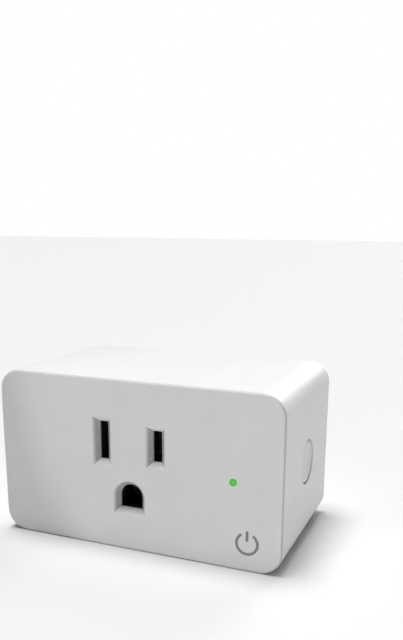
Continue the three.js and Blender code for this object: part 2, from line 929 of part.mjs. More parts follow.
// ---------------------------------------------------------------- power supply, left of the socket

const supplyLeftX = leftX + sideWall;
const supplyRightX = -carrierHalfWidth;
const floorZ = bottomZ + sideWall;

const mainCapacitor = { radius: 5, height: 16, fromWall: 0.8, rise: 3.9 };
const outputCapacitor = { radius: 3.2, height: 11, fromCarrier: 0.6, rise: 7.3 };
const capacitorBead = { from: 1.6, width: 0.8, depth: 0.35, rim: 0.5 }; // the groove near its foot

function capacitor({ radius, height }, x, z) {
  const { from, width, depth, rim } = capacitorBead;
  const low = partsY - height;
  return turnedY(
    [
      [0, low],
      [radius - rim, low],
      [radius, low + rim],
      [radius, partsY - from - width],
      [radius - depth, partsY - from - width / 2],
      [radius, partsY - from],
      [radius, partsY],
      [0, partsY],
    ],
    x,
    z,
  );
}

function capacitorMain() {
  const { radius, fromWall, rise } = mainCapacitor;
  return capacitor(mainCapacitor, supplyLeftX + fromWall + radius, bodyCentreZ + rise);
}

function capacitorOutput() {
  const { radius, fromCarrier, rise } = outputCapacitor;
  return capacitor(outputCapacitor, supplyRightX - fromCarrier - radius, bodyCentreZ + rise);
}

const transformer = {
  fromCarrier: 5.4,
  fromFloor: 6.9,
  width: 6,
  height: 12,
  frame: 2.2,
  limb: 3,
  depth: 11,
  wire: 10.4,
  ease: 0.3,
};
const transformerX = supplyRightX - transformer.fromCarrier;
const transformerZ = floorZ + transformer.fromFloor;

// two windows leave a middle limb, which the winding goes round
function transformerCore() {
  const { width, height, frame, limb, depth } = transformer;
  const window = (height - 2 * frame - limb) / 2;
  const whole = block(about(transformerX, width), [partsY - depth, partsY], about(transformerZ, height));
  const windows = [-1, 1].map((side) =>
    block(
      about(transformerX, width + 2),
      [partsY - depth + frame, partsY - frame],
      about(transformerZ + (side * (limb + window)) / 2, window),
    ),
  );
  return cut(whole, ...windows);
}

function transformerWinding() {
  const { width, height, frame, limb, depth, wire, ease } = transformer;
  const long = [partsY - depth + frame + ease, partsY - frame - ease];
  const coil = block(about(transformerX, wire), long, about(transformerZ, height - 2 * (frame + ease)));
  const hole = block(
    about(transformerX, width + ease),
    [long[0] - 1, long[1] + 1],
    about(transformerZ, limb + ease),
  );
  return coil.subtract(hole);
}

const disc = { radius: 4.9, thickness: 3.6, round: 0.7, fromWall: 0.9, fromBoard: 0.5, fromFloor: 10.6 };

function varistor() {
  const { radius, thickness, round, fromWall, fromBoard, fromFloor } = disc;
  const low = supplyLeftX + fromWall;
  const high = low + thickness;
  return turnedX(
    [
      [0, low],
      [radius - round, low],
      [radius, low + round],
      [radius, high - round],
      [radius - round, high],
      [0, high],
    ],
    partsY - fromBoard - radius,
    floorZ + fromFloor,
  );
}

const resistor = { radius: 1.7, length: 10, cap: 2.2, neck: 0.2, round: 0.4, fromFloor: 0.2, startX: -10 };

// dumb-bell shaped, below the socket's carrier
function fuseResistor() {
  const { radius, length, cap, neck, round, fromFloor, startX } = resistor;
  const half = [
    [0, 0],
    [radius - round, 0],
    [radius, round],
    [radius, cap - round],
    [radius - neck, cap],
  ];
  const mirrored = half.toReversed().map(([r, place]) => [r, length - place]);
  const profile = [...half, ...mirrored].map(([r, place]) => [r, startX + place]);
  return turnedX(profile, partsY - radius, floorZ + radius + fromFloor);
}

const rectifier = { width: 6, height: 4.8, depth: 2.6, fromCarrier: 0.7, rise: -0.8 };

function bridgeRectifier() {
  const { width, height, depth, fromCarrier, rise } = rectifier;
  const right = supplyRightX - fromCarrier;
  return block([right - width, right], [partsY - depth, partsY], about(bodyCentreZ + rise, height));
}

const chip = { width: 3, height: 4.4, depth: 1.6, fromWall: 5.2, rise: -7.4 };

function powerChip() {
  const { width, height, depth, fromWall, rise } = chip;
  const left = supplyLeftX + fromWall;
  return block([left, left + width], [partsY - depth, partsY], about(bodyCentreZ + rise, height));
}

// ---------------------------------------------------------------- radio board under the top wall

const radioZ = [topZ - sideWall - radioFromTop - radioThickness, topZ - sideWall - radioFromTop];
const radioX = [-radioFromMiddle - radioWidth, -radioFromMiddle];
const radioY = [partsY - radioDepth, partsY - radioFoot];

function wirelessBoard() {
  return block(radioX, radioY, radioZ);
}

function shieldCan() {
  const x = [radioX[0] + shieldMargin, radioX[1] - shieldMargin];
  const y = [radioY[0] + antennaLength, radioY[1] - shieldFromHeader];
  const z = [radioZ[0] - lapGap - shieldHeight, radioZ[0] - lapGap];
  const wall = shieldWall;
  const room = block([x[0] + wall, x[1] - wall], [y[0] + wall, y[1] - wall], [z[0] + wall, z[1] + 1]);
  return block(x, y, z).subtract(room);
}

function moduleHeader() {
  return block(
    [radioX[0] + headerMargin, radioX[1] - headerMargin],
    [partsY - headerSize, partsY],
    [radioZ[0] - lapGap - headerSize, radioZ[0] - lapGap],
  );
}

// ---------------------------------------------------------------- side button, its switch and the light

function buttonCap() {
  const radius = buttonDiameter / 2;
  const face = rightX - buttonRecess;
  return turnedX(
    [
      [0, stemX],
      [buttonStemRadius, stemX],
      [buttonStemRadius, flangeX],
      [radius + buttonFlangeOverlap, flangeX],
      [radius + buttonFlangeOverlap, flangeX + buttonFlangeThickness],
      [radius, flangeX + buttonFlangeThickness],
      [radius, face - buttonEdgeChamfer],
      [radius - buttonEdgeChamfer, face],
      [0, face],
    ],
    buttonY,
    buttonZ,
    36,
  );
}

function switchPlunger() {
  return turnedX(rod(plungerRadius, switchX - plungerSunk, plungerX), buttonY, buttonZ);
}

function switchBody() {
  const body = block(
    [switchX - switchHeight, switchX],
    about(buttonY, switchSide),
    about(buttonZ, switchSide),
  );
  const floor = switchX - plungerSunk - buttonTravel - plungerGap;
  return body.subtract(turnedX(rod(plungerRadius + plungerGap, floor, switchX + 1), buttonY, buttonZ));
}

function buttonBoard() {
  return block(
    [sideBoardX - sideBoardThickness, sideBoardX],
    [frontInsideY + sideBoardSetIn, partsY - sideBoardFoot],
    about(bodyCentreZ, sideBoardHeight),
  );
}

function boardConnector() {
  return block(
    [sideBoardX + lapGap, sideBoardX + lapGap + headerSize],
    [partsY - headerSize, partsY],
    about(bodyCentreZ, connectorHeight),
  );
}

const pipeEndY = frontInsideY + seatGap + lightFlangeThickness;

function lightPipe() {
  return turnedY(
    [
      [0, frontY + lightPipeSink],
      [lightPipeRadius, frontY + lightPipeSink],
      [lightPipeRadius, frontInsideY + seatGap],
      [lightFlangeRadius, frontInsideY + seatGap],
      [lightFlangeRadius, pipeEndY],
      [0, pipeEndY],
    ],
    lightX,
    lightZ,
    20,
  );
}

function statusLed() {
  const tipY = pipeEndY + lapGap;
  const dome = [0, 1, 2, 3, 4].map((step) => {
    const turn = (step / 4) * (Math.PI / 2);
    return [ledRadius * Math.sin(turn), tipY + ledRadius * (1 - Math.cos(turn))];
  });
  return turnedY([...dome, [ledRadius, tipY + ledLength], [0, tipY + ledLength]], lightX, lightZ, 20);
}

// ---------------------------------------------------------------- the whole plug

const smartPlug = new THREE.Group();

function add(name, piece, material) {
  const { numProp, vertProperties, triVerts } = piece.getMesh();
  const geometry = new THREE.BufferGeometry();
  geometry.setAttribute("position", new THREE.BufferAttribute(vertProperties, numProp));
  geometry.setIndex(new THREE.BufferAttribute(new Uint32Array(triVerts), 1));
  geometry.computeVertexNormals();
  const mesh = new THREE.Mesh(geometry, material);
  mesh.name = name;
  smartPlug.add(mesh);
}

const neutralTailRearY = boardFrontY - seatGap;
const contactTailRearY = carrierRearY + lapLength;

add("front_housing", frontHousing(), whiteShell);
add("rear_cover", rearCover(), whiteCover);
bosses.forEach((place, index) => add(`rear_screw_${index + 1}`, rearScrew(place), steel));

add("blade_neutral", blade(neutralX, neutralBladeHeight), nickel);
add("blade_hot", blade(hotX, hotBladeHeight), nickel);
add("ground_pin", groundPin(), nickel);

add("contact_carrier", contactCarrier(), blackCarrier);
add(
  "contact_neutral",
  bladeContact(neutralX, -1, bladeThickness / 2 + lapGap, neutralTailRearY),
  brass,
);
add("contact_hot", bladeContact(hotX, 1, hotTailOffset, contactTailRearY), brass);
add("contact_ground", groundContact(contactTailRearY), brass);
add("ground_strap", groundStrap(), copper);
add("line_busbar", lineBusbar(), copper);
add("load_busbar", loadBusbar(), copper);

add("main_board", mainBoard(), boardGreen);
add("relay_case", relayCase(), relayPlastic);
add("relay_base", relayBase(), blackPart);
add("relay_bobbin", relayBobbin(), blackPart);
add("relay_coil", relayCoil(), copper);
add("relay_core", relayCore(), steel);
add("relay_yoke", relayYoke(), steel);
add("relay_armature", relayArmature(), steel);
add("relay_contact_arm", relayContactArm(), copper);
add("relay_fixed_contact", relayFixedContact(), brass);
add("relay_common_terminal", relayCommonTerminal(), brass);

add("capacitor_main", capacitorMain(), sleeve);
add("capacitor_output", capacitorOutput(), sleeve);
add("transformer_core", transformerCore(), ferrite);
add("transformer_winding", transformerWinding(), yellowTape);
add("varistor", varistor(), blueDisc);
add("fuse_resistor", fuseResistor(), resistorBody);
add("bridge_rectifier", bridgeRectifier(), blackPart);
add("power_chip", powerChip(), blackPart);
add("wireless_board", wirelessBoard(), boardBlack);
add("shield_can", shieldCan(), steel);
add("module_header", moduleHeader(), blackPart);

add("button_board", buttonBoard(), boardGreen);
add("board_connector", boardConnector(), blackPart);
add("switch_body", switchBody(), blackPart);
add("switch_plunger", switchPlunger(), blackCarrier);
add("button_cap", buttonCap(), whiteButton);
add("status_led", statusLed(), ledGreen);
add("light_pipe", lightPipe(), clearLight);

export default smartPlug;
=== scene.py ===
import math

import bmesh
import bpy
from mathutils import Euler, Matrix, Vector


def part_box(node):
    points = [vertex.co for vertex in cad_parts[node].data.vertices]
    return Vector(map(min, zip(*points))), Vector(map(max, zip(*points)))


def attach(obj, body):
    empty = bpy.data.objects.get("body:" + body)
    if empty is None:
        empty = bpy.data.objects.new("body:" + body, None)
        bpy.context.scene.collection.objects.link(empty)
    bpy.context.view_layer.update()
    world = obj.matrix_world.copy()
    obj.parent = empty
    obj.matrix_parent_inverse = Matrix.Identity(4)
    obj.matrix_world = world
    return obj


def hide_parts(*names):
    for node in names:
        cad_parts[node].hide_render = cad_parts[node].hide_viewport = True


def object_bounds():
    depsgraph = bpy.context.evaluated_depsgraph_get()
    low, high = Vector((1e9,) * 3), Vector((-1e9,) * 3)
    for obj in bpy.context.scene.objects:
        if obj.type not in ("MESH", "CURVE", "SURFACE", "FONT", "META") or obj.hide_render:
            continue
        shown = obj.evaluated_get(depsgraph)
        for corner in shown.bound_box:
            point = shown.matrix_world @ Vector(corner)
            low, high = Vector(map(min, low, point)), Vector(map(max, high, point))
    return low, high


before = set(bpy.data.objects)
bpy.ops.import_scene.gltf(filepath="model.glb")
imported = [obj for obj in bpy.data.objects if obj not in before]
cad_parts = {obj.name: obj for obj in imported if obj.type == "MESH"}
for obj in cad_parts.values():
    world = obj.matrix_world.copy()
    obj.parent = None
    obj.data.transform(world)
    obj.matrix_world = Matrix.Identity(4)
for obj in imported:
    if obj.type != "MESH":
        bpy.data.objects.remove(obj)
cadLow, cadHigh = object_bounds()

mm = 0.001
near = 0.01 * mm  # two places this close count as one
proud = 0.2 * mm  # a cutter ends this far outside the face it cuts
axes = {"x": Vector((1, 0, 0)), "y": Vector((0, 1, 0)), "z": Vector((0, 0, 1))}

scene = bpy.context.scene

# camera, light and floor

cameraSetup = {
    "place": (69.21 * mm, -167.72 * mm, 45.57 * mm),
    "lookDown": 13.8,  # degrees, as the next two
    "fromRight": 22.01,
    "roll": 0.35,
    "lens": 40.73,
    "rise": 0.1267,  # the view's shift, as a share of its longer side
    "nearest": 10 * mm,
}

cameraData = bpy.data.cameras.new("camera")
cameraData.lens = cameraSetup["lens"]
cameraData.shift_y = cameraSetup["rise"]
cameraData.clip_start = cameraSetup["nearest"]
camera = bpy.data.objects.new("camera", cameraData)
scene.collection.objects.link(camera)
tilt = math.radians(90 - cameraSetup["lookDown"])
cameraTurn = Euler((tilt, 0, math.radians(cameraSetup["fromRight"])))
camera.matrix_world = (
    Matrix.Translation(cameraSetup["place"])
    @ cameraTurn.to_matrix().to_4x4()
    @ Matrix.Rotation(math.radians(cameraSetup["roll"]), 4, "Z")
)
scene.camera = camera
scene.view_settings.view_transform = "Standard"

# the room looks white, and gives only a little light of its own
roomSetup = {"seen": (1, 1, 1), "fill": 0.04}
# distant soft lamps, each given by where it stands as seen from the plug; softness is in degrees
sunSetup = {
    "overheadKey": {"strength": 3.2, "softness": 25, "from": (-0.12, 0.0, 1.0)},
    "rearHigh": {"strength": 0.45, "softness": 30, "from": (0.1, 0.8, 0.9)},
    "rearSoft": {"strength": 0.62, "softness": 30, "from": (0.1, 0.9, 0.4)},
    "sideLow": {"strength": 0.24, "softness": 30, "from": (1.0, 0.2, 0.03)},
}
# a narrow lamp whose round patch of light ends near the left edge of the face
spotSetup = {
    "strength": 5.8,
    "radius": 4 * mm,  # a small lamp, so that the patch keeps its edge
    "from": (-0.5, -0.85, 0.4),
    "aim": (57 * mm, cadLow.y, 8 * mm),
    "reach": 81 * mm,  # the patch's radius
    "blend": 0.21,
}


# a lamp stands a metre from where it aims
def standLamp(name, data, away, aim=(0, 0, 0)):
    away = Vector(away).normalized()
    lamp = bpy.data.objects.new(name, data)
    lamp.location = Vector(aim) + away
    lamp.rotation_euler = (-away).to_track_quat("-Z", "Y").to_euler()
    scene.collection.objects.link(lamp)


def setUpRoom():
    world = bpy.data.worlds.new("studio")
    scene.world = world
    world.use_nodes = True
    tree = world.node_tree
    tree.nodes.clear()
    output = tree.nodes.new("ShaderNodeOutputWorld")
    seen = tree.nodes.new("ShaderNodeBackground")
    lit = tree.nodes.new("ShaderNodeBackground")
    mix = tree.nodes.new("ShaderNodeMixShader")
    path = tree.nodes.new("ShaderNodeLightPath")
    for background in (seen, lit):
        background.inputs["Color"].default_value = (*roomSetup["seen"], 1)
    lit.inputs["Strength"].default_value = roomSetup["fill"]
    tree.links.new(path.outputs["Is Camera Ray"], mix.inputs["Fac"])
    tree.links.new(lit.outputs["Background"], mix.inputs[1])
    tree.links.new(seen.outputs["Background"], mix.inputs[2])
    tree.links.new(mix.outputs["Shader"], output.inputs["Surface"])

    for name, values in sunSetup.items():
        sun = bpy.data.lights.new(name, "SUN")
        sun.energy = values["strength"]
        sun.angle = math.radians(values["softness"])
        standLamp(name, sun, values["from"])
    spot = bpy.data.lights.new("faceSpot", "SPOT")
    spot.energy = spotSetup["strength"]
    spot.shadow_soft_size = spotSetup["radius"]
    spot.spot_size = 2 * math.atan(spotSetup["reach"])
    spot.spot_blend = spotSetup["blend"]
    standLamp("faceSpot", spot, spotSetup["from"], spotSetup["aim"])


setUpRoom()
print("camera and light are up")

# modelling by hand: what is picked here, the edit operators then work on


def onlyThis(piece):
    bpy.ops.object.select_all(action="DESELECT")
    piece.select_set(True)
    bpy.context.view_layer.objects.active = piece


def settle(piece):
    onlyThis(piece)
    bpy.ops.object.transform_apply(location=True, rotation=True, scale=True)
    return piece


def startBlock(name, low, high):
    bpy.ops.object.select_all(action="DESELECT")
    low, high = Vector(low), Vector(high)
    bpy.ops.mesh.primitive_cube_add(size=1, location=(low + high) / 2, scale=high - low)
    bpy.context.object.name = name
    return settle(bpy.context.object)


def startRod(name, radius, start, end, sides=48):
    bpy.ops.object.select_all(action="DESELECT")
    start, end = Vector(start), Vector(end)
    turn = Vector((0, 0, 1)).rotation_difference(end - start).to_euler()
    bpy.ops.mesh.primitive_cylinder_add(
        vertices=sides,
        radius=radius,
        depth=(end - start).length,
        location=(start + end) / 2,
        rotation=turn,
    )
    bpy.context.object.name = name
    return settle(bpy.context.object)


def openMesh(piece):
    onlyThis(piece)
    bpy.ops.object.mode_set(mode="EDIT")


def closeMesh():
    bpy.ops.object.mode_set(mode="OBJECT")


def pick(kind, test):
    bpy.ops.mesh.select_mode(type=kind)
    bpy.ops.mesh.select_all(action="DESELECT")
    mesh = bpy.context.edit_object.data
    live = bmesh.from_edit_mesh(mesh)
    parts = {"VERT": live.verts, "EDGE": live.edges, "FACE": live.faces}[kind]
    for part in parts:
        if test(part):
            part.select_set(True)
    live.select_flush_mode()
    bmesh.update_edit_mesh(mesh)


# faces that look along an axis (side is 1 or -1) and lie at a place on it
def pickFaces(axis, side, place):
    way = axes[axis]
    pick(
        "FACE",
        lambda face: face.normal.dot(way) * side > 0.99
        and abs(face.calc_center_median().dot(way) - place) < near,
    )


def pickEdgesAlong(axis):
    way = axes[axis]
    pick("EDGE", lambda edge: abs((edge.verts[1].co - edge.verts[0].co).normalized().dot(way)) > 0.99)


# all edges that lie in the plane across an axis, or only those that run along another
def pickEdgesAt(axis, place, along=None):
    way = axes[axis]
    run = axes[along] if along else None
    pick(
        "EDGE",
        lambda edge: all(abs(vert.co.dot(way) - place) < near for vert in edge.verts)
        and (run is None or abs((edge.verts[1].co - edge.verts[0].co).dot(run)) > near),
    )


def roundEdges(offset, steps):
    bpy.ops.mesh.bevel(offset=offset, segments=steps, affect="EDGES")


def pull(axis, distance):
    move = axes[axis] * distance
    bpy.ops.mesh.extrude_region_move(TRANSFORM_OT_translate={"value": move})


def stretchPicked(factors, centre):
    bpy.ops.transform.resize(value=factors, center_override=centre)


def combine(piece, other, how):
    change = piece.modifiers.new("combine", "BOOLEAN")
    change.operation = how
    change.solver = "EXACT"
    change.object = other
    onlyThis(piece)
    bpy.ops.object.modifier_apply(modifier=change.name)
    bpy.data.objects.remove(other)


def carve(piece, *cutters):
    for cutter in cutters:
        combine(piece, cutter, "DIFFERENCE")


def weld(piece, *others):
    for other in others:
        combine(piece, other, "UNION")


def copyOf(piece, name, move):
    twin = piece.copy()
    twin.data = piece.data.copy()
    twin.name = name
    scene.collection.objects.link(twin)
    twin.data.transform(Matrix.Translation(move))
    return twin


# loose ends are merged, edges are softened where asked, and large flats keep their own normal
def finishSurface(piece, edge=0, steps=2, angle=32):
    openMesh(piece)
    bpy.ops.mesh.select_all(action="SELECT")
    bpy.ops.mesh.remove_doubles(threshold=0.002 * mm)
    bpy.ops.mesh.delete_loose()
    closeMesh()
    if edge:
        soften = piece.modifiers.new("soften", "BEVEL")
        soften.width = edge
        soften.segments = steps
        soften.limit_method = "ANGLE"
        soften.angle_limit = math.radians(angle)
        bpy.ops.object.modifier_apply(modifier=soften.name)
    bpy.ops.object.shade_smooth_by_angle(angle=math.radians(angle + 8))
    even = piece.modifiers.new("even", "WEIGHTED_NORMAL")
    even.keep_sharp = True
    bpy.ops.object.modifier_apply(modifier=even.name)


def finishPiece(piece, body, material, stands=()):
    piece.data.materials.clear()
    piece.data.materials.append(material)
    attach(piece, body)
    if stands:
        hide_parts(*stands)


def centreOf(node):
    low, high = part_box(node)
    return (low + high) / 2


# materials: every pattern reads the object's own coordinates

plasticLook = {"flowSize": 9 * mm, "flowStretch": 0.35, "patchSize": 2.4 * mm}
metalLook = {"scratchStretch": 0.04, "dullSize": 1.8 * mm}


def startMaterial(name, roughness=0.5, metallic=0.0):
    material = bpy.data.materials.new(name)
    material.use_nodes = True
    tree = material.node_tree
    tree.nodes.clear()
    shader = tree.nodes.new("ShaderNodeBsdfPrincipled")
    output = tree.nodes.new("ShaderNodeOutputMaterial")
    shader.inputs["Roughness"].default_value = roughness
    shader.inputs["Metallic"].default_value = metallic
    tree.links.new(shader.outputs["BSDF"], output.inputs["Surface"])
    return material, tree, shader


def placeNode(tree, centre=(0, 0, 0), stretch=(1, 1, 1), turn=(0, 0, 0)):
    coordinates = tree.nodes.new("ShaderNodeTexCoord")
    mapping = tree.nodes.new("ShaderNodeMapping")
    mapping.inputs["Location"].default_value = [-c * s for c, s in zip(centre, stretch)]
    mapping.inputs["Scale"].default_value = stretch
    mapping.inputs["Rotation"].default_value = [math.radians(angle) for angle in turn]
    tree.links.new(coordinates.outputs["Object"], mapping.inputs["Vector"])
    return mapping.outputs["Vector"]


# each place's three coordinates, by name
def splitNode(tree, centre=(0, 0, 0)):
    split = tree.nodes.new("ShaderNodeSeparateXYZ")
    tree.links.new(placeNode(tree, centre=centre), split.inputs["Vector"])
    return split.outputs


def noiseNode(tree, place, size, detail=2.0, roughness=0.5):
    noise = tree.nodes.new("ShaderNodeTexNoise")
    noise.inputs["Scale"].default_value = 1 / size
    noise.inputs["Detail"].default_value = detail
    noise.inputs["Roughness"].default_value = roughness
    tree.links.new(place, noise.inputs["Vector"])
    return noise.outputs["Fac"]


def rampNode(tree, value, stops):
    ramp = tree.nodes.new("ShaderNodeValToRGB")
    points = ramp.color_ramp.elements
    while len(points) < len(stops):
        points.new(0.5)
    for point, (position, colour) in zip(points, stops):
        point.position = position
        point.color = (*colour, 1)
    tree.links.new(value, ramp.inputs["Fac"])
    return ramp.outputs["Color"]


def rangeNode(tree, value, source, target, smooth=False):
    node = tree.nodes.new("ShaderNodeMapRange")
    node.interpolation_type = "SMOOTHSTEP" if smooth else "LINEAR"
    for name, number in zip(("From Min", "From Max", "To Min", "To Max"), (*source, *target)):
        node.inputs[name].default_value = number
    tree.links.new(value, node.inputs["Value"])
    return node.outputs["Result"]


def mathNode(tree, how, first, second=None):
    node = tree.nodes.new("ShaderNodeMath")
    node.operation = how
    for socket, value in zip(node.inputs, (first, second)):
        if isinstance(value, bpy.types.NodeSocket):
            tree.links.new(value, socket)
        elif value is not None:
            socket.default_value = value
    return node.outputs["Value"]


def mixNode(tree, factor, first, second, how="MIX"):
    node = tree.nodes.new("ShaderNodeMix")
    node.data_type = "RGBA"
    node.blend_type = how
    for name, value in (("Factor", factor), ("A", first), ("B", second)):
        socket = [s for s in node.inputs if s.name == name and s.enabled][0]
        if isinstance(value, bpy.types.NodeSocket):
            tree.links.new(value, socket)
        elif name == "Factor":
            socket.default_value = value
        else:
            socket.default_value = (*value, 1)
    return [s for s in node.outputs if s.enabled][0]


def bumpNode(tree, shader, height, depth, strength=1.0):
    node = tree.nodes.new("ShaderNodeBump")
    node.inputs["Distance"].default_value = depth
    node.inputs["Strength"].default_value = strength
    tree.links.new(height, node.inputs["Height"])
    tree.links.new(node.outputs["Normal"], shader.inputs["Normal"])


# moulded plastic: faint flow marks, fine eroded grain and small changes of gloss
def mouldedPlastic(name, light, dark, gloss, grain, grainDepth):
    material, tree, shader = startMaterial(name)
    place = placeNode(tree)
    drawn = placeNode(tree, stretch=(1, plasticLook["flowStretch"], 1))
    flow = noiseNode(tree, drawn, plasticLook["flowSize"], 3)
    tree.links.new(rampNode(tree, flow, [(0.3, dark), (0.7, light)]), shader.inputs["Base Color"])
    patches = noiseNode(tree, place, plasticLook["patchSize"], 4, 0.6)
    tree.links.new(rangeNode(tree, patches, (0.3, 0.7), gloss), shader.inputs["Roughness"])
    bumpNode(tree, shader, noiseNode(tree, place, grain, 2), grainDepth)
    return material, tree, shader


# drawn or stamped metal: long fine scratches along one axis and dull patches
def stampedMetal(name, light, dark, gloss, along, scratch=0.06 * mm, depth=0.004 * mm):
    material, tree, shader = startMaterial(name, metallic=1.0)
    stretch = [metalLook["scratchStretch"] if axis == along else 1 for axis in "xyz"]
    lines = noiseNode(tree, placeNode(tree, stretch=stretch), scratch, 3, 0.6)
    dull = noiseNode(tree, placeNode(tree), metalLook["dullSize"], 4, 0.6)
    tone = mathNode(tree, "MULTIPLY", mathNode(tree, "ADD", lines, dull), 0.5)
    tree.links.new(rampNode(tree, tone, [(0.35, dark), (0.65, light)]), shader.inputs["Base Color"])
    tree.links.new(rangeNode(tree, tone, (0.35, 0.65), gloss), shader.inputs["Roughness"])
    bumpNode(tree, shader, lines, depth)
    return material


print("modelling starts")

# the housing: a rounded box with its rear open, the socket in front and the button's hole at the side

housingShape = {
    "outlineRadius": 4.8 * mm,
    "outlineSteps": 16,
    "frontEdge": 0.45 * mm,
    "rearEdge": 0.4 * mm,
    "sideWall": 2.0 * mm,
    "frontWall": 2.2 * mm,
    "lip": 0.1 * mm,  # softened edge round every opening
    "fenceWall": 1.0 * mm,
    "fenceGap": 0.2 * mm,
    "fenceHeight": 4.0 * mm,
    "shoulder": -8.65 * mm,  # the main board rests there
    "buttonHole": 5.0 * mm,  # radius, as the next
    "lightHole": 0.83 * mm,
    "holeDepth": 4 * mm,  # how far in both are cut
}
socketShape = {
    "slotWidth": 2.0 * mm,
    "neutralHeight": 8.5 * mm,
    "hotHeight": 6.8 * mm,
    "offset": 6.35 * mm,
    "leadIn": 1.2 * mm,
    "leadInDepth": 1.3 * mm,
    "groundDrop": 11.9 * mm,
    "groundRadius": 2.6 * mm,
    "groundFlat": 2.75 * mm,
    "groundLeadIn": 1.15 * mm,
    "seat": 0.5 * mm,  # the wall is thinner by this where the carrier stands
    "cutDepth": 3.2 * mm,  # past the inside of the front wall
}
# a screw post: a step that the board rests on, a thinner tip through it, and a pilot hole
bossShape = {
    "radius": 2.8 * mm,
    "tipRadius": 2.2 * mm,
    "tip": -2.25 * mm,
    "pilotRadius": 1.15 * mm,
    "pilotEnd": -11.2 * mm,
    "web": 1.2 * mm,
    "reach": 3.6 * mm,
}

screwNodes = ["rear_screw_1", "rear_screw_2", "rear_screw_3", "rear_screw_4"]
screwPlaces = [centreOf(node) for node in screwNodes]
housingLow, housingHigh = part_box("front_housing")
frontY = housingLow.y
middle = (housingLow + housingHigh) / 2


# grows the picked front end of a cutter out through the face in steps: [how far, half sizes]
def flareOut(axis, side, centre, steps):
    place, (oldA, oldB) = steps[0]
    for newPlace, (newA, newB) in steps[1:]:
        pickFaces(axis, side, place)
        pull(axis, newPlace - place)
        at = Vector(centre)
        at["xyz".index(axis)] = newPlace
        factors = {"y": (newA / oldA, 1, newB / oldB), "x": (1, newA / oldA, newB / oldB)}[axis]
        stretchPicked(factors, at)
        place, oldA, oldB = newPlace, newA, newB


# the mouth tapers over the lead-in, and a small lip softens its edge
def mouthSteps(halfA, halfB, widening):
    depth = socketShape["leadInDepth"]
    lip = housingShape["lip"]
    outer = widening - 0.4 * lip
    return [
        (frontY + depth, (halfA, halfB)),
        (frontY + lip, (halfA + outer, halfB + outer)),
        (frontY + 0.3 * lip, (halfA + outer + 0.35 * lip, halfB + outer + 0.35 * lip)),
        (frontY - proud, (halfA + outer + 2.6 * lip, halfB + outer + 2.6 * lip)),
    ]


def slotCutter(x, height):
    halfA, halfB = socketShape["slotWidth"] / 2, height / 2
    steps = mouthSteps(halfA, halfB, socketShape["leadIn"])
    low = (x - halfA, steps[0][0], -halfB)
    high = (x + halfA, frontY + socketShape["cutDepth"], halfB)
    cutter = startBlock("slotCutter", low, high)
    openMesh(cutter)
    flareOut("y", -1, (x, 0, 0), steps)
    closeMesh()
    return cutter


# round above and square below
def groundCutter():
    radius, flat = socketShape["groundRadius"], socketShape["groundFlat"]
    centre = (0, 0, -socketShape["groundDrop"])
    steps = mouthSteps(radius, radius, socketShape["groundLeadIn"])
    low = (-radius, steps[0][0], centre[2] - flat)
    high = (radius, frontY + socketShape["cutDepth"], centre[2] + radius)
    cutter = startBlock("groundCutter", low, high)
    openMesh(cutter)
    pickEdgesAt("z", high[2], along="y")
    roundEdges(radius * 0.998, 18)  # a hair less than the radius, so that the two arcs don't meet
    flareOut("y", -1, centre, steps)
    closeMesh()
    return cutter


def buttonHoleCutter():
    low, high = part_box("button_cap")
    y, z = (low.y + high.y) / 2, (low.z + high.z) / 2
    radius = housingShape["buttonHole"]
    lip = 1.5 * housingShape["lip"]
    face = housingHigh.x
    start = (face - housingShape["holeDepth"], y, z)
    cutter = startRod("buttonHole", radius, start, (face - lip, y, z), 72)
    openMesh(cutter)
    steps = [
        (face - lip, (radius, radius)),
        (face - 0.3 * lip, (radius + 0.35 * lip, radius + 0.35 * lip)),
        (face + proud, (radius + 3 * lip, radius + 3 * lip)),
    ]
    flareOut("x", 1, (0, y, z), steps)
    closeMesh()
    return cutter


def buildBoss(place):
    root = frontY + housingShape["frontWall"] / 2
    shoulder = housingShape["shoulder"]
    foot = (place.x, root, place.z)
    boss = startRod("boss", bossShape["radius"], foot, (place.x, shoulder, place.z), 32)
    openMesh(boss)
    pickFaces("y", 1, shoulder)
    bpy.ops.mesh.inset(thickness=bossShape["radius"] - bossShape["tipRadius"])
    pull("y", bossShape["tip"] - shoulder)
    bpy.ops.mesh.inset(thickness=bossShape["tipRadius"] - bossShape["pilotRadius"])
    pull("y", bossShape["pilotEnd"] - bossShape["tip"])
    closeMesh()
    return boss


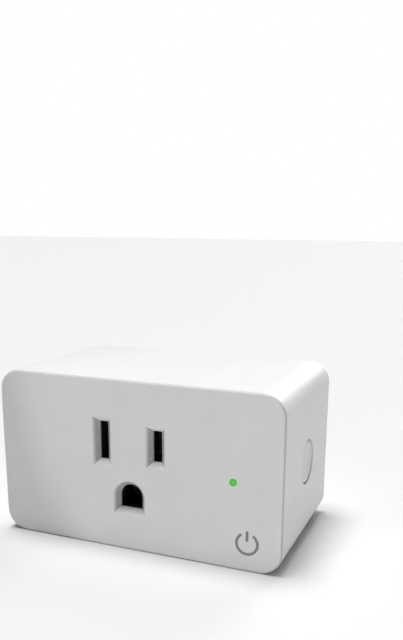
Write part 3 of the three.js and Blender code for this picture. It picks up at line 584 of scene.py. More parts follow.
def buildHousing():
    shell = startBlock("housing", housingLow, housingHigh)
    openMesh(shell)
    pickEdgesAlong("y")
    roundEdges(housingShape["outlineRadius"], housingShape["outlineSteps"])
    pickEdgesAt("y", frontY)
    roundEdges(housingShape["frontEdge"], 4)
    pickEdgesAt("y", housingHigh.y)
    roundEdges(housingShape["rearEdge"], 3)
    pickFaces("y", 1, housingHigh.y)
    bpy.ops.mesh.inset(thickness=housingShape["sideWall"] - housingShape["rearEdge"])
    pull("y", frontY + housingShape["frontWall"] - housingHigh.y)
    closeMesh()

    # inside: four screw posts tied to the walls, and a fence round the socket's carrier
    first = buildBoss(screwPlaces[0])
    posts = [copyOf(first, "post", place - screwPlaces[0]) for place in screwPlaces[1:]]
    root = frontY + housingShape["frontWall"] / 2
    shoulder = housingShape["shoulder"]
    halfWeb = bossShape["web"] / 2
    webs = []
    for place in screwPlaces:
        reachX = math.copysign(bossShape["reach"], place.x - middle.x)
        reachZ = math.copysign(bossShape["reach"], place.z - middle.z)
        spanX = sorted((place.x, place.x + reachX))
        spanZ = sorted((place.z, place.z + reachZ))
        lowA, highA = (spanX[0], root, place.z - halfWeb), (spanX[1], shoulder, place.z + halfWeb)
        lowB, highB = (place.x - halfWeb, root, spanZ[0]), (place.x + halfWeb, shoulder, spanZ[1])
        webs += [startBlock("web", lowA, highA), startBlock("web", lowB, highB)]
    carrierLow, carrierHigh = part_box("contact_carrier")
    gap = housingShape["fenceGap"]
    grow = gap + housingShape["fenceWall"]
    inside = frontY + housingShape["frontWall"]
    fenceTop = inside + housingShape["fenceHeight"]
    fence = startBlock(
        "fence",
        (carrierLow.x - grow, root, carrierLow.z - grow),
        (carrierHigh.x + grow, fenceTop, carrierHigh.z + grow),
    )
    openMesh(fence)
    pickEdgesAlong("y")
    roundEdges(housingShape["fenceWall"], 5)
    closeMesh()
    seat = startBlock(
        "seat",
        (carrierLow.x - gap, inside - socketShape["seat"], carrierLow.z - gap),
        (carrierHigh.x + gap, fenceTop + mm, carrierHigh.z + gap),
    )
    weld(shell, first, *posts, *webs, fence)
    carve(shell, seat)

    lightLow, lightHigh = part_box("light_pipe")
    lightX, lightZ = (lightLow.x + lightHigh.x) / 2, (lightLow.z + lightHigh.z) / 2
    start = (lightX, frontY - mm, lightZ)
    end = (lightX, frontY + housingShape["holeDepth"], lightZ)
    lightHole = startRod("lightHole", housingShape["lightHole"], start, end, 40)
    carve(
        shell,
        slotCutter(-socketShape["offset"], socketShape["neutralHeight"]),
        slotCutter(socketShape["offset"], socketShape["hotHeight"]),
        groundCutter(),
        buttonHoleCutter(),
        lightHole,
    )
    finishSurface(shell)
    return shell


# painted light: round the light the front of the wall glows a little, as emission and as a green tint
# in its base colour
halo = {
    "reach": (0.6 * mm, 1.4 * mm),  # full inside the first radius, gone at the second
    "depth": 0.3 * mm,
    "strength": 0.22,
    "colour": (0.22, 0.9, 0.16),
    "tint": (0.5, 0.9, 0.42),
    "tintAmount": 0.75,
}
# painted shade on the tapered mouths' side walls, greyer with depth and broken into streaks along the
# pins' way in; the mouths' ends stay unshaded
mouthShade = {
    "depth": (frontY + 0.12 * mm, frontY + 0.6 * mm),
    "between": -7.0 * mm,  # the slots lie above this height, the ground hole below
    "size": 0.35 * mm,
    "stretch": 0.12,
    "dark": (0.4, 0.4, 0.403),
    "light": (0.54, 0.54, 0.544),
}
# painted shade: the round front edge is a touch greyer
frontEdgeShade = {
    "start": (frontY + 0.01 * mm, frontY + 0.1 * mm),
    "end": (frontY + 0.4 * mm, frontY + 0.65 * mm),
    "amount": (0.85, 1.0),
    "tone": (0.62, 0.62, 0.623),
}


# how far a place is from the light's middle, across the front face
def fromLightNode(tree):
    low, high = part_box("light_pipe")
    centre = ((low.x + high.x) / 2, 0, (low.z + high.z) / 2)
    length = tree.nodes.new("ShaderNodeVectorMath")
    length.operation = "LENGTH"
    tree.links.new(placeNode(tree, centre=centre, stretch=(1, 0, 1)), length.inputs[0])
    return length.outputs["Value"]


# 0 in front of the socket's carrier and 1 elsewhere
def offSocketMask(tree, place):
    low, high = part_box("contact_carrier")
    fromMiddle = mathNode(tree, "ABSOLUTE", place["X"])
    mask = mathNode(tree, "GREATER_THAN", fromMiddle, (high.x - low.x) / 2)
    for how, limit in (("GREATER_THAN", high.z), ("LESS_THAN", low.z)):
        mask = mathNode(tree, "MAXIMUM", mask, mathNode(tree, how, place["Z"], limit))
    return mask


# 1 on a mouth's side walls, where the place is further past the opening across than up or down
def sideWallMask(tree, place):
    up = place["Z"]
    fromMiddle = mathNode(tree, "ABSOLUTE", place["X"])
    neutral = mathNode(tree, "LESS_THAN", place["X"], 0.0)
    taller = (socketShape["neutralHeight"] - socketShape["hotHeight"]) / 2
    slotHalf = mathNode(tree, "MULTIPLY", neutral, taller)
    slotHalf = mathNode(tree, "ADD", slotHalf, socketShape["hotHeight"] / 2)
    pastEnd = mathNode(tree, "SUBTRACT", mathNode(tree, "ABSOLUTE", up), slotHalf)
    fromSlot = mathNode(tree, "SUBTRACT", fromMiddle, socketShape["offset"])
    fromSlot = mathNode(tree, "ABSOLUTE", fromSlot)
    pastSide = mathNode(tree, "SUBTRACT", fromSlot, socketShape["slotWidth"] / 2)
    bySlots = mathNode(tree, "GREATER_THAN", pastSide, pastEnd)
    flat = -socketShape["groundDrop"] - socketShape["groundFlat"]
    pastFlat = mathNode(tree, "SUBTRACT", flat, up)
    pastRound = mathNode(tree, "SUBTRACT", fromMiddle, socketShape["groundRadius"])
    byGround = mathNode(tree, "GREATER_THAN", pastRound, pastFlat)
    nearSlots = mathNode(tree, "GREATER_THAN", up, mouthShade["between"])
    return mixNode(tree, nearSlots, byGround, bySlots)


def housingPlastic():
    material, tree, shader = mouldedPlastic(
        "housingPlastic",
        light=(0.87, 0.87, 0.872),
        dark=(0.84, 0.84, 0.843),
        gloss=(0.36, 0.46),
        grain=0.16 * mm,
        grainDepth=0.004 * mm,
    )
    plain = shader.inputs["Base Color"].links[0].from_socket
    place = splitNode(tree)
    offSocket = offSocketMask(tree, place)

    glow = rangeNode(tree, fromLightNode(tree), halo["reach"], (1.0, 0.0), smooth=True)
    inFront = mathNode(tree, "LESS_THAN", place["Y"], frontY + halo["depth"])
    glow = mathNode(tree, "MULTIPLY", glow, inFront)
    shader.inputs["Emission Color"].default_value = (*halo["colour"], 1)
    strength = mathNode(tree, "MULTIPLY", glow, halo["strength"])
    tree.links.new(strength, shader.inputs["Emission Strength"])
    # the halo's green light is painted into the base colour as well
    withHaloLight = mixNode(tree, mathNode(tree, "MULTIPLY", glow, halo["tintAmount"]), plain, halo["tint"])

    inWall = mathNode(tree, "LESS_THAN", place["Y"], frontY + housingShape["frontWall"])
    inWall = mathNode(tree, "MULTIPLY", inWall, mathNode(tree, "SUBTRACT", 1.0, offSocket))
    # painted shade: the mouths' side walls turn greyer the deeper they go
    mouthShadeMask = rangeNode(tree, place["Y"], mouthShade["depth"], (0.0, 1.0), smooth=True)
    mouthShadeMask = mathNode(tree, "MULTIPLY", mouthShadeMask, inWall)
    mouthShadeMask = mathNode(tree, "MULTIPLY", mouthShadeMask, sideWallMask(tree, place))
    drawn = placeNode(tree, stretch=(1, mouthShade["stretch"], 1))
    shadeStreaks = noiseNode(tree, drawn, mouthShade["size"], 4, 0.65)
    mouthShadeTone = rampNode(tree, shadeStreaks, [(0.3, mouthShade["dark"]), (0.7, mouthShade["light"])])
    withMouthShade = mixNode(tree, mouthShadeMask, withHaloLight, mouthShadeTone)

    # painted shade along the round front edge, away from the socket
    edgeStart = rangeNode(tree, place["Y"], frontEdgeShade["start"], (0.0, 1.0), smooth=True)
    edgeEnd = rangeNode(tree, place["Y"], frontEdgeShade["end"], (1.0, 0.0), smooth=True)
    onEdge = mathNode(tree, "MULTIPLY", mathNode(tree, "MULTIPLY", edgeStart, edgeEnd), offSocket)
    frontEdgeShadeAmount = mathNode(tree, "MULTIPLY", onEdge, rangeNode(tree, shadeStreaks, (0.3, 0.7), frontEdgeShade["amount"]))
    tree.links.new(mixNode(tree, frontEdgeShadeAmount, withMouthShade, frontEdgeShade["tone"]), shader.inputs["Base Color"])
    return material


housing = buildHousing()
finishPiece(housing, "casing", housingPlastic(), ["front_housing"])
print("housing done")

# the pins: two blades and a round ground pin, each with a shoulder and a tail inside

bladeShape = {
    "reach": 17.9 * mm,
    "tipCorner": 1.6 * mm,
    "tipThin": 0.55,  # shares of the thickness and the height
    "tipNarrow": 0.9,
    "holeRadius": 1.6 * mm,
    "holeFromFace": 11.9 * mm,
    "shoulder": (-6.05 * mm, -5.05 * mm),
    "overhang": 1.4 * mm,
    "bladeRoot": 0.3 * mm,  # the blade starts this far past the shoulder's inner face
    "tailRoot": 0.5 * mm,  # and the tail ends this far past it
    "tailWidth": 3.6 * mm,
    "tailEnd": -10.4 * mm,
    "edge": 0.16 * mm,
}
pinShape = {
    "radius": 2.375 * mm,
    "reach": 21.0 * mm,
    "tip": 1.6 * mm,
    "shoulderRadius": 3.775 * mm,
    "tailRadius": 1.4 * mm,
    "edge": 0.12 * mm,
}


def bladeHalfHeight(node):
    low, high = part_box(node)
    return (high.z - low.z) / 2 - bladeShape["overhang"]


def buildBlade(name, node):
    low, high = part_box(node)
    half = bladeHalfHeight(node)
    left, right = low.x, high.x
    reach = bladeShape["reach"]
    shoulderLow, shoulderHigh = bladeShape["shoulder"]
    root = shoulderLow + bladeShape["bladeRoot"]
    blade = startBlock(name, (left, root, -half), (right, reach, half))
    openMesh(blade)
    pickEdgesAt("y", reach, along="x")
    roundEdges(bladeShape["tipCorner"], 3)
    pickFaces("y", 1, reach)
    pull("y", 0)
    shrink = (bladeShape["tipThin"], 1, bladeShape["tipNarrow"])
    stretchPicked(shrink, ((left + right) / 2, reach, 0))
    bpy.ops.mesh.select_all(action="SELECT")
    bpy.ops.mesh.remove_doubles(threshold=near / 4)
    closeMesh()
    grow = half + bladeShape["overhang"]
    shoulder = startBlock("shoulder", (left, shoulderLow, -grow), (right, shoulderHigh, grow))
    halfTail = bladeShape["tailWidth"] / 2
    tailRoot = shoulderLow + bladeShape["tailRoot"]
    tail = startBlock("tail", (left, bladeShape["tailEnd"], -halfTail), (right, tailRoot, halfTail))
    weld(blade, shoulder, tail)
    hole = bladeShape["holeFromFace"]
    carve(
        blade,
        startRod("hole", bladeShape["holeRadius"], (left - mm, hole, 0), (right + mm, hole, 0), 40),
    )
    finishSurface(blade, edge=bladeShape["edge"], steps=3)
    return blade


def buildGroundPin():
    z = -socketShape["groundDrop"]
    shoulderLow, shoulderHigh = bladeShape["shoulder"]
    radius = pinShape["radius"]
    reach = pinShape["reach"]
    pin = startRod("groundPin", radius, (0, shoulderHigh, z), (0, reach, z), 56)
    openMesh(pin)
    pickEdgesAt("y", reach)
    roundEdges(pinShape["tip"], 8)
    at = Vector((0, shoulderHigh, z))
    pickFaces("y", -1, shoulderHigh)
    wide = pinShape["shoulderRadius"] / radius
    pull("y", 0)
    stretchPicked((wide, 1, wide), at)
    pull("y", shoulderLow - shoulderHigh)
    narrow = pinShape["tailRadius"] / pinShape["shoulderRadius"]
    pull("y", 0)
    stretchPicked((narrow, 1, narrow), at)
    pull("y", bladeShape["tailEnd"] - shoulderLow)
    closeMesh()
    finishSurface(pin, edge=pinShape["edge"])
    return pin


# the rear cover lies inside the housing's rim, and the pins pass through it

coverShape = {
    "thickness": 2.2 * mm,
    "corner": 2.65 * mm,
    "rim": 0.25 * mm,
    "padTop": -5.0 * mm,
    "padCorner": 1.0 * mm,
    "headRadius": 2.4 * mm,
    "headSeat": -1.35 * mm,
    "seatLip": -0.15 * mm,  # a screw's pocket flares from here
    "seatFlare": 0.35 * mm,
    "shankRadius": 1.25 * mm,
    "shankCut": -6 * mm,  # a hole is cut from here out
    "ribTop": -6.95 * mm,
    "ribThickness": 1.4 * mm,
    "ribFromSide": 9.05 * mm,
    "ribFromEnd": 3.85 * mm,
    "pinGap": 0.1 * mm,
    "pinCut": -8 * mm,
}


def buildCover():
    low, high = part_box("rear_cover")
    cover = startBlock("rearCover", (low.x, -coverShape["thickness"], low.z), high)
    openMesh(cover)
    pickEdgesAlong("y")
    roundEdges(coverShape["corner"], 12)
    pickEdgesAt("y", high.y)
    roundEdges(coverShape["rim"], 3)
    closeMesh()
    carrierLow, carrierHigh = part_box("contact_carrier")
    inside = -coverShape["thickness"] / 2
    pad = startBlock(
        "pad",
        (carrierLow.x, coverShape["padTop"], carrierLow.z),
        (carrierHigh.x, inside, carrierHigh.z),
    )
    openMesh(pad)
    pickEdgesAlong("y")
    roundEdges(coverShape["padCorner"], 4)
    closeMesh()
    ribs = []
    for x in (low.x + coverShape["ribFromSide"], high.x - coverShape["ribFromSide"]):
        half = coverShape["ribThickness"] / 2
        ends = coverShape["ribFromEnd"]
        lowCorner = (x - half, coverShape["ribTop"], low.z + ends)
        ribs.append(startBlock("rib", lowCorner, (x + half, inside, high.z - ends)))
    weld(cover, pad, *ribs)
    radius, lip = coverShape["headRadius"], coverShape["seatLip"]
    flare = radius + coverShape["seatFlare"]
    for place in screwPlaces:
        x, z = place.x, place.z
        head = startRod("headSeat", radius, (x, coverShape["headSeat"], z), (x, lip, z))
        openMesh(head)
        flareOut("y", 1, place, [(lip, (radius, radius)), (proud, (flare, flare))])
        closeMesh()
        start = (x, coverShape["shankCut"], z)
        shank = startRod("shankHole", coverShape["shankRadius"], start, (x, mm, z), 32)
        carve(cover, head, shank)
    gap, cutFrom = coverShape["pinGap"], coverShape["pinCut"]
    for node in ("blade_neutral", "blade_hot"):
        bladeLow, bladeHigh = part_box(node)
        half = bladeHalfHeight(node) + gap
        start = (bladeLow.x - gap, cutFrom, -half)
        carve(cover, startBlock("bladeSlot", start, (bladeHigh.x + gap, mm, half)))
    z = -socketShape["groundDrop"]
    carve(cover, startRod("pinHole", pinShape["radius"] + gap, (0, cutFrom, z), (0, mm, z)))
    finishSurface(cover)
    return cover


nickel = stampedMetal(
    "platedPin", light=(0.74, 0.72, 0.68), dark=(0.6, 0.58, 0.54), gloss=(0.2, 0.34), along="y"
)
coverPlastic = mouldedPlastic(
    "coverPlastic",
    light=(0.83, 0.83, 0.835),
    dark=(0.79, 0.79, 0.796),
    gloss=(0.48, 0.6),
    grain=0.22 * mm,
    grainDepth=0.012 * mm,
)[0]
rearCover = buildCover()
finishPiece(rearCover, "casing", coverPlastic, ["rear_cover"])
neutralBlade = buildBlade("neutralBlade", "blade_neutral")
finishPiece(neutralBlade, "casing", nickel, ["blade_neutral"])
hotBlade = buildBlade("hotBlade", "blade_hot")
finishPiece(hotBlade, "casing", nickel, ["blade_hot"])
groundPin = buildGroundPin()
finishPiece(groundPin, "casing", nickel, ["ground_pin"])
print("cover and pins done")

# four closing screws, modelled once

screwShape = {
    "headRadius": 2.2 * mm,
    "headLow": -1.3 * mm,
    "headTop": -0.2 * mm,
    "crown": 0.45 * mm,
    "shankRadius": 1.05 * mm,
    "rootRadius": 0.8 * mm,
    "threads": 9,
    "point": 0.4,  # the last turn's share of the thickness
    "end": -9.3 * mm,
    "crossSpan": 2.4 * mm,
    "crossWidth": 0.55 * mm,
    "crossDepth": 0.7 * mm,
    "crossTop": 0.3 * mm,  # the recess tapers from this far above the head down to its floor
    "crossTaper": (0.5, 0.8),  # the floor's shares of the span and of the width
}


def buildScrew(place):
    x, z = place.x, place.z
    headLow, headTop = screwShape["headLow"], screwShape["headTop"]
    radius = screwShape["headRadius"]
    screw = startRod("closingScrew1", radius, (x, headLow, z), (x, headTop, z), 40)
    openMesh(screw)
    pickEdgesAt("y", headTop)
    roundEdges(screwShape["crown"], 5)
    pickFaces("y", -1, headLow)
    bpy.ops.mesh.inset(thickness=radius - screwShape["shankRadius"])
    pitch = (screwShape["end"] - headLow) / (2 * screwShape["threads"])
    waist = screwShape["rootRadius"] / screwShape["shankRadius"]
    y = headLow
    for turn in range(screwShape["threads"]):
        for factor in (waist, 1 / waist):
            if turn == screwShape["threads"] - 1 and factor > 1:
                factor = screwShape["point"]
            pull("y", pitch)
            y += pitch
            stretchPicked((factor, 1, factor), (x, y, z))
    closeMesh()
    span, width = screwShape["crossSpan"] / 2, screwShape["crossWidth"] / 2
    floor = headTop - screwShape["crossDepth"]
    top = headTop + screwShape["crossTop"]
    spanTaper, widthTaper = screwShape["crossTaper"]
    for a, b, taper in (
        (span, width, (spanTaper, 1, widthTaper)),
        (width, span, (widthTaper, 1, spanTaper)),
    ):
        cutter = startBlock("cross", (x - a, floor, z - b), (x + a, top, z + b))
        openMesh(cutter)
        pickFaces("y", -1, floor)
        stretchPicked(taper, (x, floor, z))
        closeMesh()
        carve(screw, cutter)
    finishSurface(screw)
    return screw


screwSteel = stampedMetal(
    "zincScrew",
    light=(0.66, 0.67, 0.68),
    dark=(0.5, 0.51, 0.52),
    gloss=(0.28, 0.44),
    along="x",
    scratch=0.09 * mm,
)
firstScrew = buildScrew(screwPlaces[0])
screws = [firstScrew]
for number, place in enumerate(screwPlaces[1:], 2):
    screws.append(copyOf(firstScrew, f"closingScrew{number}", place - screwPlaces[0]))
for screw, node in zip(screws, screwNodes):
    finishPiece(screw, "casing", screwSteel, [node])
print("screws done")

# the round button in the right-hand side

buttonShape = {
    "radius": 4.7 * mm,
    "flangeRadius": 6.2 * mm,
    "flange": (31.35 * mm, 32.15 * mm),
    "stemRadius": 2.0 * mm,
    "edge": 0.4 * mm,
    "rim": 0.3 * mm,
    "dish": 0.3 * mm,  # a shallow dish for the finger
    "dishSteps": [(0.72, 0.5), (0.62, 0.35), (0.45, 0.15)],  # share of the last width, and of the depth
}


def buildButton():
    low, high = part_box("button_cap")
    y, z = (low.y + high.y) / 2, (low.z + high.z) / 2
    flangeLow, flangeHigh = buttonShape["flange"]
    radius, flangeRadius = buttonShape["radius"], buttonShape["flangeRadius"]
    button = startRod("button", flangeRadius, (flangeLow, y, z), (flangeHigh, y, z), 72)
    openMesh(button)
    pickFaces("x", 1, flangeHigh)
    bpy.ops.mesh.inset(thickness=flangeRadius - radius)
    pull("x", high.x - flangeHigh)
    pickEdgesAt("x", high.x)
    roundEdges(buttonShape["edge"], 4)
    pickFaces("x", 1, high.x)
    bpy.ops.mesh.inset(thickness=buttonShape["rim"])
    for share, drop in buttonShape["dishSteps"]:
        pull("x", -buttonShape["dish"] * drop)
        stretchPicked((1, share, share), (high.x, y, z))
    pickFaces("x", -1, flangeLow)
    bpy.ops.mesh.inset(thickness=flangeRadius - buttonShape["stemRadius"])
    pull("x", low.x - flangeLow)
    closeMesh()
    finishSurface(button)
    return button


buttonPlastic = mouldedPlastic(
    "buttonPlastic",
    light=(0.79, 0.79, 0.795),
    dark=(0.76, 0.76, 0.765),
    gloss=(0.34, 0.42),
    grain=0.12 * mm,
    grainDepth=0.003 * mm,
)[0]
button = buildButton()
finishPiece(button, "button", buttonPlastic, ["button_cap"])
print("button done")

# the light in the front face

pipeShape = {"radius": 0.75 * mm, "dome": 0.28 * mm, "flangeFace": -35.55 * mm}
# a green glow, brightest in the middle of the tip, inside a paler rim
pipeLook = {
    "middle": 0.1 * mm,
    "rim": 0.5 * mm,
    "strength": (0.44, 0.24),
    "glow": (0.19, 0.8, 0.14),
    "dark": (0.03, 0.2, 0.03),
    "light": (0.05, 0.26, 0.05),
    "rimTone": (0.4, 0.75, 0.35),
    "rimAmount": 0.6,
}


def buildLightPipe():
    low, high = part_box("light_pipe")
    x, z = (low.x + high.x) / 2, (low.z + high.z) / 2
    flangeRadius = (high.x - low.x) / 2
    face = pipeShape["flangeFace"]
    pipe = startRod("lightPipe", flangeRadius, (x, high.y, z), (x, face, z), 48)
    openMesh(pipe)
    pickFaces("y", -1, face)
    bpy.ops.mesh.inset(thickness=flangeRadius - pipeShape["radius"])
    pull("y", low.y - face)
    pickEdgesAt("y", low.y)
    roundEdges(pipeShape["dome"], 5)
    closeMesh()
    finishSurface(pipe)
    return pipe


def lightPlastic():
    material, tree, shader = startMaterial("litPipe", roughness=0.22)
    away = fromLightNode(tree)
    edge = pipeShape["radius"]
    glow = rangeNode(tree, away, (pipeLook["middle"], edge), pipeLook["strength"], smooth=True)
    haze = noiseNode(tree, placeNode(tree), 0.4 * mm, 3)
    core = rampNode(tree, haze, [(0.3, pipeLook["dark"]), (0.7, pipeLook["light"])])
    rim = rangeNode(tree, away, (pipeLook["rim"], edge), (0.0, pipeLook["rimAmount"]), smooth=True)
    tree.links.new(mixNode(tree, rim, core, pipeLook["rimTone"]), shader.inputs["Base Color"])
    shader.inputs["Emission Color"].default_value = (*pipeLook["glow"], 1)
    tree.links.new(glow, shader.inputs["Emission Strength"])
    return material


lightPipe = buildLightPipe()
finishPiece(lightPipe, "casing", lightPlastic(), ["light_pipe"])
print("light done")

# a printed on and off sign, raised by a hair

signShape = {
    "centre": (26.85 * mm, -17.85 * mm),
    "radius": 2.25 * mm,
    "stroke": 0.58 * mm,
    "gap": 66,  # degrees, left open at the top
    "raised": 0.02 * mm,
    "bar": (0.45 * mm, 2.85 * mm),
    "dark": (0.22, 0.216, 0.22),
    "light": (0.33, 0.326, 0.33),
}


def buildSign():
    x, z = signShape["centre"]
    stroke, raised = signShape["stroke"], signShape["raised"]
    start = math.radians(90 + signShape["gap"] / 2)
    radius = signShape["radius"]
    bpy.ops.object.select_all(action="DESELECT")
    bpy.ops.mesh.primitive_plane_add(
        size=1,
        location=(x + radius * math.cos(start), frontY, z + radius * math.sin(start)),
        rotation=(0, -start, 0),
    )
    sign = bpy.context.object
    sign.name = "powerSign"
    sign.scale = (stroke, 2 * raised, 1)
    settle(sign)
    openMesh(sign)
    bpy.ops.mesh.select_all(action="SELECT")
    sweep = math.radians(360 - signShape["gap"])
    bpy.ops.mesh.spin(steps=48, angle=sweep, center=(x, frontY, z), axis=(0, 1, 0))
    bpy.ops.mesh.select_all(action="SELECT")
    bpy.ops.mesh.remove_doubles(threshold=0.001 * mm)
    bpy.ops.mesh.normals_make_consistent(inside=False)
    closeMesh()
    barLow, barHigh = signShape["bar"]
    bar = startBlock(
        "bar",
        (x - stroke / 2, frontY - raised, z + barLow),
        (x + stroke / 2, frontY + raised, z + barHigh),
    )
    openMesh(bar)
    pickEdgesAlong("y")
    roundEdges(stroke * 0.49, 6)
    closeMesh()
    bpy.ops.object.select_all(action="DESELECT")
    bar.select_set(True)
    sign.select_set(True)
    bpy.context.view_layer.objects.active = sign
    bpy.ops.object.join()
    return sign


def signInk():
    material, tree, shader = startMaterial("greyInk")
    speckle = noiseNode(tree, placeNode(tree), 0.12 * mm, 3, 0.7)
    tone = rampNode(tree, speckle, [(0.35, signShape["dark"]), (0.65, signShape["light"])])
    tree.links.new(tone, shader.inputs["Base Color"])
    tree.links.new(rangeNode(tree, speckle, (0.3, 0.7), (0.45, 0.62)), shader.inputs["Roughness"])
    return material


sign = buildSign()
finishPiece(sign, "casing", signInk())
print("sign done")

# finishes for the parts inside, which keep their own shape

insidePlastics = {
    "carrierPlastic": {
        "nodes": ["contact_carrier", "switch_plunger"],
        "light": (0.022, 0.022, 0.024),
        "dark": (0.012, 0.012, 0.013),
        "gloss": (0.5, 0.68),
        "grain": (0.2 * mm, 0.01 * mm),  # size and depth
    },
    "chipPlastic": {
        "nodes": ["relay_base", "relay_bobbin", "bridge_rectifier", "power_chip"]
        + ["module_header", "board_connector", "switch_body"],
        "light": (0.03, 0.031, 0.034),
        "dark": (0.018, 0.019, 0.021),
        "gloss": (0.42, 0.6),
        "grain": (0.08 * mm, 0.006 * mm),
    },
    "relayPlastic": {
        "nodes": ["relay_case"],
        "light": (0.035, 0.11, 0.28),
        "dark": (0.025, 0.085, 0.23),
        "gloss": (0.3, 0.42),
        "grain": (0.1 * mm, 0.004 * mm),
    },
    "ferrite": {
        "nodes": ["transformer_core"],
        "light": (0.055, 0.055, 0.06),
        "dark": (0.03, 0.03, 0.034),
        "gloss": (0.55, 0.75),
        "grain": (0.14 * mm, 0.02 * mm),
    },
    "epoxyDisc": {
        "nodes": ["varistor"],
        "light": (0.03, 0.12, 0.4),
        "dark": (0.022, 0.09, 0.32),
        "gloss": (0.22, 0.34),
        "grain": (0.3 * mm, 0.02 * mm),
    },
}
insideMetals = {
    "stampedBrass": {
        "nodes": ["contact_neutral", "contact_hot", "contact_ground"]
        + ["relay_fixed_contact", "relay_common_terminal"],
        "light": (0.46, 0.39, 0.26),
        "dark": (0.32, 0.26, 0.17),
        "gloss": (0.34, 0.5),
        "along": "y",
    },
    "rolledCopper": {
        "nodes": ["ground_strap", "line_busbar", "load_busbar", "relay_contact_arm"],
        "light": (0.72, 0.36, 0.2),
        "dark": (0.54, 0.24, 0.12),
        "gloss": (0.28, 0.46),
        "along": "z",
    },
    "rolledSteel": {
        "nodes": ["relay_core", "relay_yoke", "relay_armature", "shield_can"],
        "light": (0.56, 0.57, 0.58),
        "dark": (0.42, 0.43, 0.44),
        "gloss": (0.3, 0.48),
        "along": "z",
    },
}
# enamelled wire laid turn by turn
coilLook = {
    "wire": 0.16 * mm,
    "depth": 0.04 * mm,
    "dark": (0.3, 0.1, 0.04),
    "light": (0.66, 0.28, 0.12),
}
# the tone of a board's mask, and of the tracks under it
greenBoard = ((0.01, 0.1, 0.04), (0.03, 0.2, 0.085))
blackBoard = ((0.012, 0.013, 0.015), (0.04, 0.042, 0.046))
boardLook = {
    "mainBoardMask": {"node": "main_board", "tones": greenBoard, "turn": (90, 0, 0)},
    "sideBoardMask": {"node": "button_board", "tones": greenBoard, "turn": (0, 90, 0)},
    "radioBoardMask": {"node": "wireless_board", "tones": blackBoard, "turn": (0, 0, 0)},
}
# tracks run round islands of plain board; the first three sizes are in millimetres
boardPattern = {
    "track": 0.12,
    "islandLength": 4.3,
    "islandWidth": 1.5,
    "stagger": 0.37,
    "squash": 0.6,
    "padPitch": 2.54 * mm,
    "padScatter": 0.35,
    "padRadius": 0.2,  # a share of the pitch
    "padTone": (0.62, 0.6, 0.54),
    "depth": 0.03 * mm,
}
# a band is its place from the piece's middle, its width and its tone
resistorLook = {
    "body": (0.2, 0.36, 0.22),
    "gloss": (0.35, 0.5),
    "bands": [
        (-2.2 * mm, 0.7 * mm, (0.5, 0.2, 0.03)),
        (-0.8 * mm, 0.7 * mm, (0.02, 0.02, 0.02)),
        (0.6 * mm, 0.7 * mm, (0.3, 0.12, 0.05)),
        (2.4 * mm, 0.7 * mm, (0.55, 0.42, 0.1)),
    ],
}
# the sleeve is cut back round the bare front end
capacitorLook = {
    "sleeve": (0.03, 0.05, 0.09),
    "gloss": (0.25, 0.38),
    "bareEnd": 0.5 * mm,
    "bareTone": (0.6, 0.6, 0.6),
}
# tape wound round in laps
windingLook = {
    "tape": (0.72, 0.52, 0.08),
    "gloss": (0.3, 0.42),
    "laps": (-1.5, -0.5, 0.5, 1.5),
    "lapPitch": 1.5 * mm,
    "lapWidth": 0.12 * mm,
    "lapTone": (0.42, 0.3, 0.03),
}
lampLook = {
    "dark": (0.08, 0.4, 0.08),
    "light": (0.14, 0.55, 0.12),
    "glow": (0.2, 0.9, 0.15),
    "strength": 1.2,
}


def dress(nodes, material):
    for node in nodes:
        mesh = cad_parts[node].data
        mesh.materials.clear()
        mesh.materials.append(material)


def coilWire():
    material, tree, shader = startMaterial("coilWire", roughness=0.3, metallic=1.0)
    turns = mathNode(tree, "MULTIPLY", splitNode(tree)["Z"], 2 * math.pi / coilLook["wire"])
    shade = rangeNode(tree, mathNode(tree, "SINE", turns), (-1, 1), (0, 1))
    tone = rampNode(tree, shade, [(0.1, coilLook["dark"]), (0.8, coilLook["light"])])
    tree.links.new(tone, shader.inputs["Base Color"])
    bumpNode(tree, shader, shade, coilLook["depth"])
    return material


def circuitBoard(name, mask, track, turn):
    material, tree, shader = startMaterial(name, roughness=0.38)
    place = placeNode(tree, turn=turn)
    tracks = tree.nodes.new("ShaderNodeTexBrick")
    tracks.offset = boardPattern["stagger"]
    tracks.squash = boardPattern["squash"]
    tracks.inputs["Scale"].default_value = 1 / mm
    tracks.inputs["Mortar Size"].default_value = boardPattern["track"]
    tracks.inputs["Brick Width"].default_value = boardPattern["islandLength"]
    tracks.inputs["Row Height"].default_value = boardPattern["islandWidth"]
    tree.links.new(place, tracks.inputs["Vector"])
    pads = tree.nodes.new("ShaderNodeTexVoronoi")
    pads.inputs["Scale"].default_value = 1 / boardPattern["padPitch"]
    pads.inputs["Randomness"].default_value = boardPattern["padScatter"]
    tree.links.new(place, pads.inputs["Vector"])
    pad = mathNode(tree, "LESS_THAN", pads.outputs["Distance"], boardPattern["padRadius"])
    colour = mixNode(tree, tracks.outputs["Fac"], mask, track)
    tree.links.new(mixNode(tree, pad, colour, boardPattern["padTone"]), shader.inputs["Base Color"])
    tree.links.new(pad, shader.inputs["Metallic"])
    raised = mathNode(tree, "ADD", tracks.outputs["Fac"], pad)
    bumpNode(tree, shader, raised, boardPattern["depth"])
    return material


def stripedBody(name, axis, centre, base, bands, gloss):
    material, tree, shader = startMaterial(name)
    place = splitNode(tree, centre)[axis.upper()]
    speckle = noiseNode(tree, placeNode(tree), 0.5 * mm, 3)
    colour = rampNode(tree, speckle, [(0.3, [c * 0.85 for c in base]), (0.7, base)])
    for at, width, tone in bands:
        away = mathNode(tree, "ABSOLUTE", mathNode(tree, "SUBTRACT", place, at))
        colour = mixNode(tree, mathNode(tree, "LESS_THAN", away, width / 2), colour, tone)
    tree.links.new(colour, shader.inputs["Base Color"])
    tree.links.new(rangeNode(tree, speckle, (0.3, 0.7), gloss), shader.inputs["Roughness"])
    bumpNode(tree, shader, speckle, 0.01 * mm)
    return material


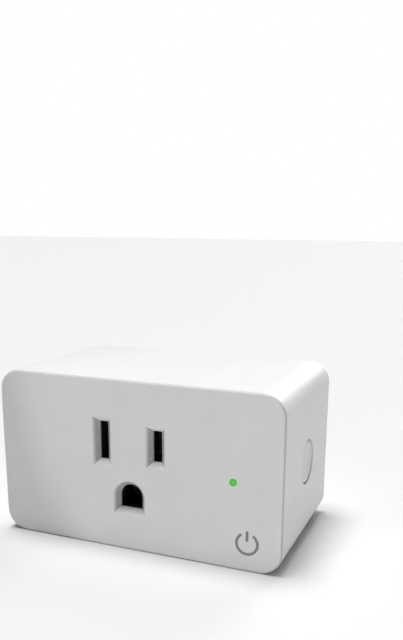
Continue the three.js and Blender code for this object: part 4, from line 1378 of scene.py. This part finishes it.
def lampGreen():
    material, tree, shader = startMaterial("lampGreen", roughness=0.12)
    haze = noiseNode(tree, placeNode(tree), 0.6 * mm, 3)
    tone = rampNode(tree, haze, [(0.3, lampLook["dark"]), (0.7, lampLook["light"])])
    tree.links.new(tone, shader.inputs["Base Color"])
    shader.inputs["Emission Color"].default_value = (*lampLook["glow"], 1)
    shader.inputs["Emission Strength"].default_value = lampLook["strength"]
    return material


def dressInside():
    for name, look in insidePlastics.items():
        grain, depth = look["grain"]
        plastic = mouldedPlastic(name, look["light"], look["dark"], look["gloss"], grain, depth)[0]
        dress(look["nodes"], plastic)
    for name, look in insideMetals.items():
        metal = stampedMetal(name, look["light"], look["dark"], look["gloss"], look["along"])
        dress(look["nodes"], metal)
    dress(["relay_coil"], coilWire())
    for name, look in boardLook.items():
        dress([look["node"]], circuitBoard(name, *look["tones"], look["turn"]))

    look = capacitorLook
    for node in ("capacitor_main", "capacitor_output"):
        centre = centreOf(node)
        bands = [(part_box(node)[0].y - centre.y, look["bareEnd"], look["bareTone"])]
        name = node + "Sleeve"
        dress([node], stripedBody(name, "y", centre, look["sleeve"], bands, look["gloss"]))
    look, centre = resistorLook, centreOf("fuse_resistor")
    body = stripedBody("resistorBody", "x", centre, look["body"], look["bands"], look["gloss"])
    dress(["fuse_resistor"], body)
    look, centre = windingLook, centreOf("transformer_winding")
    laps = [(step * look["lapPitch"], look["lapWidth"], look["lapTone"]) for step in look["laps"]]
    tape = stripedBody("windingTape", "y", centre, look["tape"], laps, look["gloss"])
    dress(["transformer_winding"], tape)
    dress(["status_led"], lampGreen())


dressInside()
print("inside dressed")

# the floor the plug stands on

floorSetup = {"size": 6.0, "tone": (0.74, 0.74, 0.74), "roughness": 0.9}

bpy.ops.object.select_all(action="DESELECT")
bpy.ops.mesh.primitive_plane_add(size=floorSetup["size"], location=(0, 0, housingLow.z))
floor = bpy.context.object
floor.name = "floor"
floorPaint, _, floorShader = startMaterial("floorPaint", floorSetup["roughness"])
floorShader.inputs["Base Color"].default_value = (*floorSetup["tone"], 1)
floor.data.materials.append(floorPaint)
